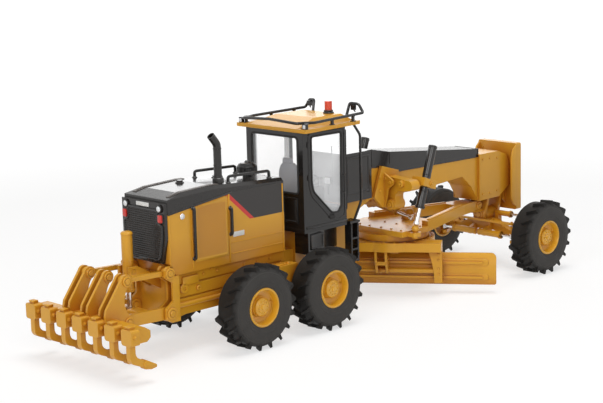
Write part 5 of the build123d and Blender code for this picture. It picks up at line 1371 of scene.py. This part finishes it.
class GRADER_OT_ripper(bpy.types.Operator):
    """Pin heads, glands and tips of the ripper, with the rear frame's bosses"""

    bl_idname = "grader.ripper"
    bl_label = "Ripper fittings"

    def execute(self, context):
        self.pins()
        self.teeth()
        self.cylinder()
        self.chassis(context.scene.grader_sizes)
        return {"FINISHED"}

    def pins(self):
        """Heads of the links' pins, outside the clevis plates and the ears."""
        half_clevis = 1.95
        # station, height and boss radius of each pin
        carriage_pins = ((-61.4, 29.3, 1.75), (-61.1, 16.0, 1.75))
        frame_pins = ((-43.6, 15.4, 2.0), (-43.9, 28.7, 1.9))
        ears, plates = [], []
        for middle in (-9.5, 0.0, 9.5):
            for hand in HANDS:
                y, out = middle + hand * half_clevis, (0, hand, 0)
                plates += [pin_head((x, y, z), out, boss, 1.0) for x, z, boss in carriage_pins]
                if middle:
                    ears += [pin_head((x, y, z), out, boss, 1.05) for x, z, boss in frame_pins]
        fit(merge(ears), "ear_pins", "rear_frame")
        fit(merge(plates), "carriage_pins", "ripper_carriage")

    def teeth(self):
        """Points of the shanks, with the pins and lids of their pockets."""
        tip = ((-67.4, 4.9), (-64.8, 4.4), (-62.7, 4.7), (-62.6, 5.6), (-66.9, 7.9), (-68.2, 6.9))
        tip_width, pocket, half_pocket = 2.7, -71.9, 2.55
        tips, studs = [], []
        for y in spread(-25.35, 25.35, 7):
            outline = [(x, y - tip_width / 2, z) for x, z in tip]
            tips.append(soften(slab(outline, (0, tip_width, 0)), 0.3))
            for hand in HANDS:
                studs.append(turned((pocket, y + hand * half_pocket, 16.2), (0, hand, 0), (
                    (0.75, 0), (0.75, 0.2), (0.5, 0.3), (0.5, 0.5), (0.35, 0.6)), 14))
            studs.append(soften(block((pocket, y, 19.2), (2.2, 2.5, 0.6)), 0.2))
        fit(merge(tips), "ripper_tips", "ripper_carriage")
        fit(merge(studs), "ripper_pocket_pins", "ripper_carriage")

    def cylinder(self):
        """Gland, cap and band of the lift cylinder."""
        axis = (-51.9, 0)
        collars = [
            gland((*axis, 23.8), DOWN, 1.85, 1.1),
            turned((*axis, 41.6), UP, (
                (1.98, 0), (1.98, 0.4), (1.85, 0.6), (1.5, 0.9), (0.6, 1.0))),
            ring((*axis, 33.0), UP, 1.86, 0.14)]
        fit(merge(collars), "ripper_cylinder_collars", "ripper_cylinder")

    def chassis(self, sizes):
        """Bolts, bosses and ribs on the rear frame's side plates."""
        side, large_bolt = 9.5, sizes.bolt * 1.125
        spots = [
            ((x, hand * side, 25.6), (0, hand, 0))
            for x in (-34.0, -28.0, -22.0, -10.0, -4.0, 2.0) for hand in HANDS]
        bolts("frame_bolts", "rear_frame", large_bolt, spots)
        # station, height and radius of each boss
        bosses = [
            turned((x, 0.1 - side, z), RIGHT, (
                (radius, 0), (radius, 0.5), (radius - 0.25, 0.75), (radius * 0.4, 0.75),
                (radius * 0.4, 0.5)))
            for x, z, radius in ((-36.8, 22.2, 1.7), (-30.5, 21.4, 0.9), (6.2, 21.4, 1.2))]
        bosses += [
            soften(block((-12.0, -side - 0.1, 27.0), (26.0, 0.6, 0.8)), 0.2),
            rod((-39.5, -side - 0.1, 16.9), (7.0, -side - 0.1, 16.9), 0.85, 20),
            soften(block((-34.0, -side - 0.2, 24.6), (7.0, 0.9, 3.0)), 0.4)]
        fit(both_sides(merge(bosses)), "frame_bosses", "rear_frame")


class GRADER_OT_tandems(bpy.types.Operator):
    """Covers and bolts of the tandem cases"""

    bl_idname = "grader.tandems"
    bl_label = "Tandem fittings"

    def execute(self, context):
        small_bolt = context.scene.grader_sizes.bolt * 0.875
        axle, top, lid_side, bolt_circle = WHEELS["rear"].middle.z, CASE.z1, 14.0, 2.9
        for side, hand in SIDES:
            body, out = f"tandem_{side}", (0, hand, 0)
            cover = turned((0, hand * 16.1, axle), out, (
                (3.9, 0), (3.9, 0.35), (3.6, 0.55), (1.9, 0.55), (1.7, 0.8), (1.3, 0.9)), 36)
            lid = soften(block((0, hand * lid_side, top + 0.1), (9.0, 2.8, 0.4)), 0.12)
            plug = turned(
                (6.4, hand * lid_side, top - 0.1), UP, ((0.6, 0), (0.6, 0.4), (0.4, 0.6)), 12)
            fit(merge([cover, lid, plug]), f"tandem_cover_{side}", body)
            spots = [
                ((bolt_circle * math.cos(a), hand * 16.6, axle + bolt_circle * math.sin(a)), out)
                for a in angles(8)]
            spots += [
                ((x, hand * (lid_side + y), top + 0.25), UP)
                for x in (-3.8, 0, 3.8) for y in (-1.0, 1.0)]
            bolts(f"tandem_bolts_{side}", body, small_bolt, spots)
        return {"FINISHED"}


class GRADER_OT_boom(bpy.types.Operator):
    """Bolts, flanges and bosses of the boom, nose and push plate"""

    bl_idname = "grader.boom"
    bl_label = "Boom fittings"

    def execute(self, context):
        rear, front, side = PUSH_PLATE.x0, PUSH_PLATE.x1, PUSH_PLATE.y1
        root, thick = rear + 0.2, 0.8
        flange = slab([(x, -side, z) for x, z in (
            (root, 23.2), (136.6, 24.6), (135.4, 27.0), (135.4, 43.6), (136.4, 46.4),
            (root, 48.4))], (0, thick, 0))
        rib = slab([(x, -4.2, z) for x, z in (
            (root, 24.0), (136.6, 26.0), (136.6, 31.0), (root, 31.0))], (0, thick, 0))
        fit(both_sides(soften(merge([flange, rib]), 0.15)), "push_plate_flanges", "front_frame")
        half, low, high = 8.6, 23.2, 47.8
        pad = slab(rounded([(front - 0.1, y, z) for y, z in (
            (-half, low), (half, low), (half, high), (-half, high))], 0.8), (0.25, 0, 0))
        fit(soften(pad, 0.08), "push_plate_pad", "front_frame")

        spots = []
        for y in (-7.4, 7.4):
            spots += [((rear + 0.05, y, z), BACK) for z in (25.4, 28.6, 43.0, 46.2)]
            spots += [((front + 0.1, y, z), AHEAD) for z in (25.2, 30.6, 40.4, 45.8)]
        # station and height of each bolt on the nose's sides
        nose_bolts = (
            (121.0, 44.4), (125.4, 44.4), (129.8, 44.0), (121.0, 30.4), (125.4, 30.4), (129.8, 30.8))
        spots += [((x, hand * BOOM.y1, z), (0, hand, 0)) for x, z in nose_bolts for hand in HANDS]
        bolts("boom_bolts", "front_frame", context.scene.grader_sizes.bolt, spots)

        half, low, high = BOOM.y1, 28.2, 46.5
        bosses = [
            pipe(rounded([(COVER.x1, y, z) for y, z in (
                (-half, low), (half, low), (half, high), (-half, high))], 0.5), 0.22, True),
            pin_head((135.7, 0, 20.5), AHEAD, 2.3, 1.4),
            pin_head((126.5, 0, 20.5), BACK, 2.1, 1.3),
            pin_head((122.5, 0, 29.1), UP, 1.5, 0.8),
            turned((13.0, 0, 27.3), UP, (
                (2.2, 0), (2.2, 0.25), (1.4, 0.35), (1.4, 0.7), (1.1, 0.85)))]
        bosses += [
            soften(block((75.0, y, 37.9), (36.0, 0.5, 0.7)), 0.15) for y in (-5.45, 5.45)]
        fit(merge(bosses), "boom_bosses", "front_frame")
        # station, foot, top and thickness of each seam over the cover
        side = 5.85
        seams = [
            pipe([(x, -side, low), (x, -side, high), (x, side, high), (x, side, low)], thick)
            for x, low, high, thick in (
                (58.0, 49.6, 56.0, 0.18), (67.7, 49.6, 54.0, 0.18), (COVER.x1, 45.6, 48.8, 0.2))]
        fit(merge(seams), "cover_seams", "front_frame", "satin_black")
        return {"FINISHED"}


class GRADER_OT_lift(bpy.types.Operator):
    """Pins, glands and caps of the saddle and its cylinders"""

    bl_idname = "grader.lift"
    bl_label = "Lift fittings"

    def execute(self, context):
        self.saddle()
        for side, hand in SIDES:
            self.cylinder(side, hand)
        self.shift()
        return {"FINISHED"}

    def saddle(self):
        """Pins of the levers, and small bolts on the saddle."""
        # station, side, height, way and boss and pin radius
        pins = (
            (64.3, 8.8, 34.9, BACK, 1.9, 1.0), (70.2, 8.8, 34.9, AHEAD, 1.9, 1.0),
            (64.3, 14.0, 43.2, BACK, 1.3, 0.6), (69.4, 14.0, 43.2, AHEAD, 1.3, 0.6),
            (69.4, 8.8, 43.4, AHEAD, 1.3, 0.7))
        heads = []
        for hand in HANDS:
            heads += [
                pin_head((x, hand * y, z), way, boss, pin) for x, y, z, way, boss, pin in pins]
            heads += [
                turned((60.6, hand * 7.2, z), (0, hand, 0), (
                    (0.55, 0), (0.55, 0.25), (0.35, 0.4)), 12)
                for z in (40.6, 45.6)]
        heads += [
            turned((65.4, y, 34.9), BACK, ((0.5, -0.1), (0.5, 0.2), (0.3, 0.3)), 12)
            for y in (-5.0, -2.5, 0.0, 2.5, 5.0)]
        fit(merge(heads), "saddle_pins", "front_frame")

    def cylinder(self, side, hand):
        """Gland, cap, bands and ports of a lift cylinder, and its trunnion caps."""
        yoke = Vector((74.4, hand * 17.2, 42.66))
        run = (yoke - Vector((68.6, hand * 17.2, 26.2))).normalized()
        collars = [
            gland(yoke - run * 8.6, -run, 1.6, 1.1),
            turned(yoke + run * 13.2, run, (
                (1.72, 0), (1.72, 0.4), (1.6, 0.6), (1.6, 0.85), (1.2, 1.1), (0.5, 1.15)))]
        collars += [ring(yoke + run * along, run, 1.62, 0.14) for along in (3.0, -3.2)]
        for port in (yoke + run * 11.4, yoke - run * 7.0):
            collars.append(rod(port, port + Vector((1.9, 0, -0.4)), 0.4, 12))
        fit(merge(collars), f"lift_collars_{side}", f"lift_cylinder_{side}", "satin_black")
        caps = [
            pin_head(yoke + Vector((0, way * 3.1, 0)), (0, way, 0), 0.95, 0.5) for way in HANDS]
        fit(merge(caps), f"trunnion_caps_{side}", f"lift_yoke_{side}")

    def shift(self):
        """Gland and cap of the shift cylinder."""
        pivot, way = Vector((73.4, 6.6, 32.4)), Vector((0, -20.2, -4.0)).normalized()
        collars = [
            gland(pivot + way * 9.6, way, 1.3, 1.0),
            turned(pivot - way * 4.6, -way, ((1.4, 0), (1.4, 0.3), (1.2, 0.55), (0.5, 0.6)))]
        fit(merge(collars), "shift_collars", "shift_cylinder")


class GRADER_OT_blade(bpy.types.Operator):
    """Rail bands, edge strips and bolts of the blade, its circle and drawbar"""

    bl_idname = "grader.blade"
    bl_label = "Blade fittings"

    def execute(self, context):
        bolt = context.scene.grader_sizes.bolt
        self.moldboard(bolt)
        self.circle(bolt)
        self.drawbar(bolt)
        return {"FINISHED"}

    def moldboard(self, bolt):
        """Bands on the rails, and the cutting edge with its bolts."""
        ahead, left, right, half = blade_way(1, 0), 42.4, -36.6, 1.3
        bands = []
        for z in (6.2, 11.8):
            outline = rounded([blade_at(-6.95, along, height) for along, height in (
                (right, z - half), (left, z - half), (left, z + half), (right, z + half))], 1.25)
            bands.append(slab(outline, ahead * 0.9))
        fit(soften(merge(bands), 0.18), "slide_bands", "moldboard")
        edge = slab([blade_at(x, -39.05, z) for x, z in (
            (-4.62, 3.02), (-5.35, 5.4), (-5.0, 5.4), (-4.25, 3.02))], blade_way(0, 83.8))
        fit(soften(edge, 0.08), "cutting_edge", "moldboard")
        row = spread(-36.0, 42.0, 14)
        spots = [(blade_at(-5.45, along, 4.3), -ahead) for along in row]
        spots += [(blade_at(-4.62, along, 4.3), ahead) for along in row]
        bolts("edge_bolts", "moldboard", bolt, spots)

    def circle(self, bolt):
        """Bolts round the circle and on its arms, and glands of the side shift cylinder."""
        bolt_circle, back, right = 15.1, -blade_way(1, 0), blade_way(0, -1)
        spots = [
            ((CIRCLE_STATION + bolt_circle * math.cos(a), bolt_circle * math.sin(a),
              CIRCLE.z1 - 0.05), UP)
            for a in angles(24)]
        spots += [
            (blade_at(-10.55, hand * 18.3, z), back)
            for hand in HANDS for z in (8.0, 10.0, 13.4, 15.6)]
        bolts("circle_bolts", "circle", bolt, spots)
        collars = [gland(blade_at(-9.3, along, 9.0), right, 0.95, 0.9) for along in (4.0, -18.4)]
        fit(merge(collars), "side_shift_collars", "circle")

    def drawbar(self, bolt):
        """Caps of the drawbar's balls, strips on its arms and the circle drive's bolts."""
        parts = []
        for hand in HANDS:
            parts += [
                turned((68.6, hand * 17.2, 23.2), DOWN, ((1.3, 0), (1.3, 0.4), (0.9, 0.7)), 18),
                pin_head((122.5, hand * 3.3, 25.5), (0, hand, 0), 1.5, 0.8),
                soften(slab([(x, hand * y, 27.2) for x, y in (
                    (110.5, 3.6), (110.5, 4.9), (80.0, 14.2), (80.0, 12.9))], (0, 0, 0.45)), 0.12)]
        drive, bolt_circle = 84.6, 2.35
        parts.append(turned((drive, 0, 28.8), UP, ((1.5, 0), (1.5, 0.3), (1.0, 0.6), (0.5, 0.7))))
        fit(merge(parts), "drawbar_bosses", "drawbar")
        spots = [
            ((drive + bolt_circle * math.cos(a), bolt_circle * math.sin(a), 27.2), UP)
            for a in angles(6)]
        # station and side of each pair of bolts on the frame
        pairs = ((65.5, 13.0), (65.5, 8.0), (65.5, 3.0), (76.0, 13.0), (74.0, 3.0))
        spots += [((x, hand * y, 25.4), UP) for x, y in pairs for hand in HANDS]
        bolts("drawbar_bolts", "drawbar", bolt, spots)


class GRADER_OT_axle(bpy.types.Operator):
    """Pin caps, glands and nuts of the front axle"""

    bl_idname = "grader.axle"
    bl_label = "Axle fittings"

    def execute(self, context):
        x, _, z = WHEELS["front"].middle
        for side, hand in SIDES:
            king, lean = hand * 20.2, hand * 16.6
            caps = [
                turned((x, king, 17.95), UP, ((1.1, 0), (1.1, 0.25), (0.7, 0.4), (0.6, 0.6)), 18),
                turned((x, king, 11.15), DOWN, ((1.1, 0), (1.1, 0.25), (0.7, 0.4)), 18),
                pin_head((134.0, lean, z), AHEAD, 1.35, 0.75),
                pin_head((128.2, lean, z), BACK, 1.35, 0.75)]
            fit(merge(caps), f"lean_caps_{side}", f"lean_yoke_{side}")
        steering = 125.6
        glands, nuts = [], []
        for hand in HANDS:
            glands.append(gland((steering, hand * 11.2, 13.9), (0, hand, 0), 1.3, 1.0))
            glands.append(turned((steering, hand * 1.1, 13.9), (0, -hand, 0), (
                (1.4, 0), (1.4, 0.25), (1.1, 0.45)), 20))
            nuts.append(turned((steering, hand * 17.4, 19.3), UP, (
                (0.75, 0), (0.75, 0.15), (0.5, 0.25), (0.5, 0.55)), 6))
        glands.append(gland((133.1, -10.5, 21.0), RIGHT, 1.1, 0.9))
        fit(merge(glands), "axle_glands", "front_axle")
        fit(merge(nuts), "tie_rod_nuts", "steering_link")
        return {"FINISHED"}


class GRADER_PT_panel(bpy.types.Panel):
    """Lists the steps that dress the model"""

    bl_idname = "GRADER_PT_panel"
    bl_label = "Motor grader"
    bl_space_type = "VIEW_3D"
    bl_region_type = "UI"
    bl_category = "Grader"

    def draw(self, context):
        for group in (context.scene.grader_sizes, context.scene.grader_colours):
            for name in group.bl_rna.properties.keys():
                if name not in ("rna_type", "name"):
                    self.layout.prop(group, name)
        for operator in OPERATORS:
            self.layout.operator(operator.bl_idname)


OPERATORS = (
    GRADER_OT_stage,
    GRADER_OT_finishes,
    GRADER_OT_wheels,
    GRADER_OT_hood,
    GRADER_OT_cab,
    GRADER_OT_rails,
    GRADER_OT_ripper,
    GRADER_OT_tandems,
    GRADER_OT_boom,
    GRADER_OT_lift,
    GRADER_OT_blade,
    GRADER_OT_axle,
)
CLASSES = (GraderSizes, GraderColours, *OPERATORS, GRADER_PT_panel)


def register():
    for cls in CLASSES:
        bpy.utils.register_class(cls)
    bpy.types.Scene.grader_sizes = bpy.props.PointerProperty(type=GraderSizes)
    bpy.types.Scene.grader_colours = bpy.props.PointerProperty(type=GraderColours)


def unregister():
    del bpy.types.Scene.grader_colours
    del bpy.types.Scene.grader_sizes
    for cls in reversed(CLASSES):
        bpy.utils.unregister_class(cls)


def main():
    register()
    for operator in OPERATORS:
        group, name = operator.bl_idname.split(".")
        getattr(getattr(bpy.ops, group), name)()


if __name__ == "__main__":
    main()
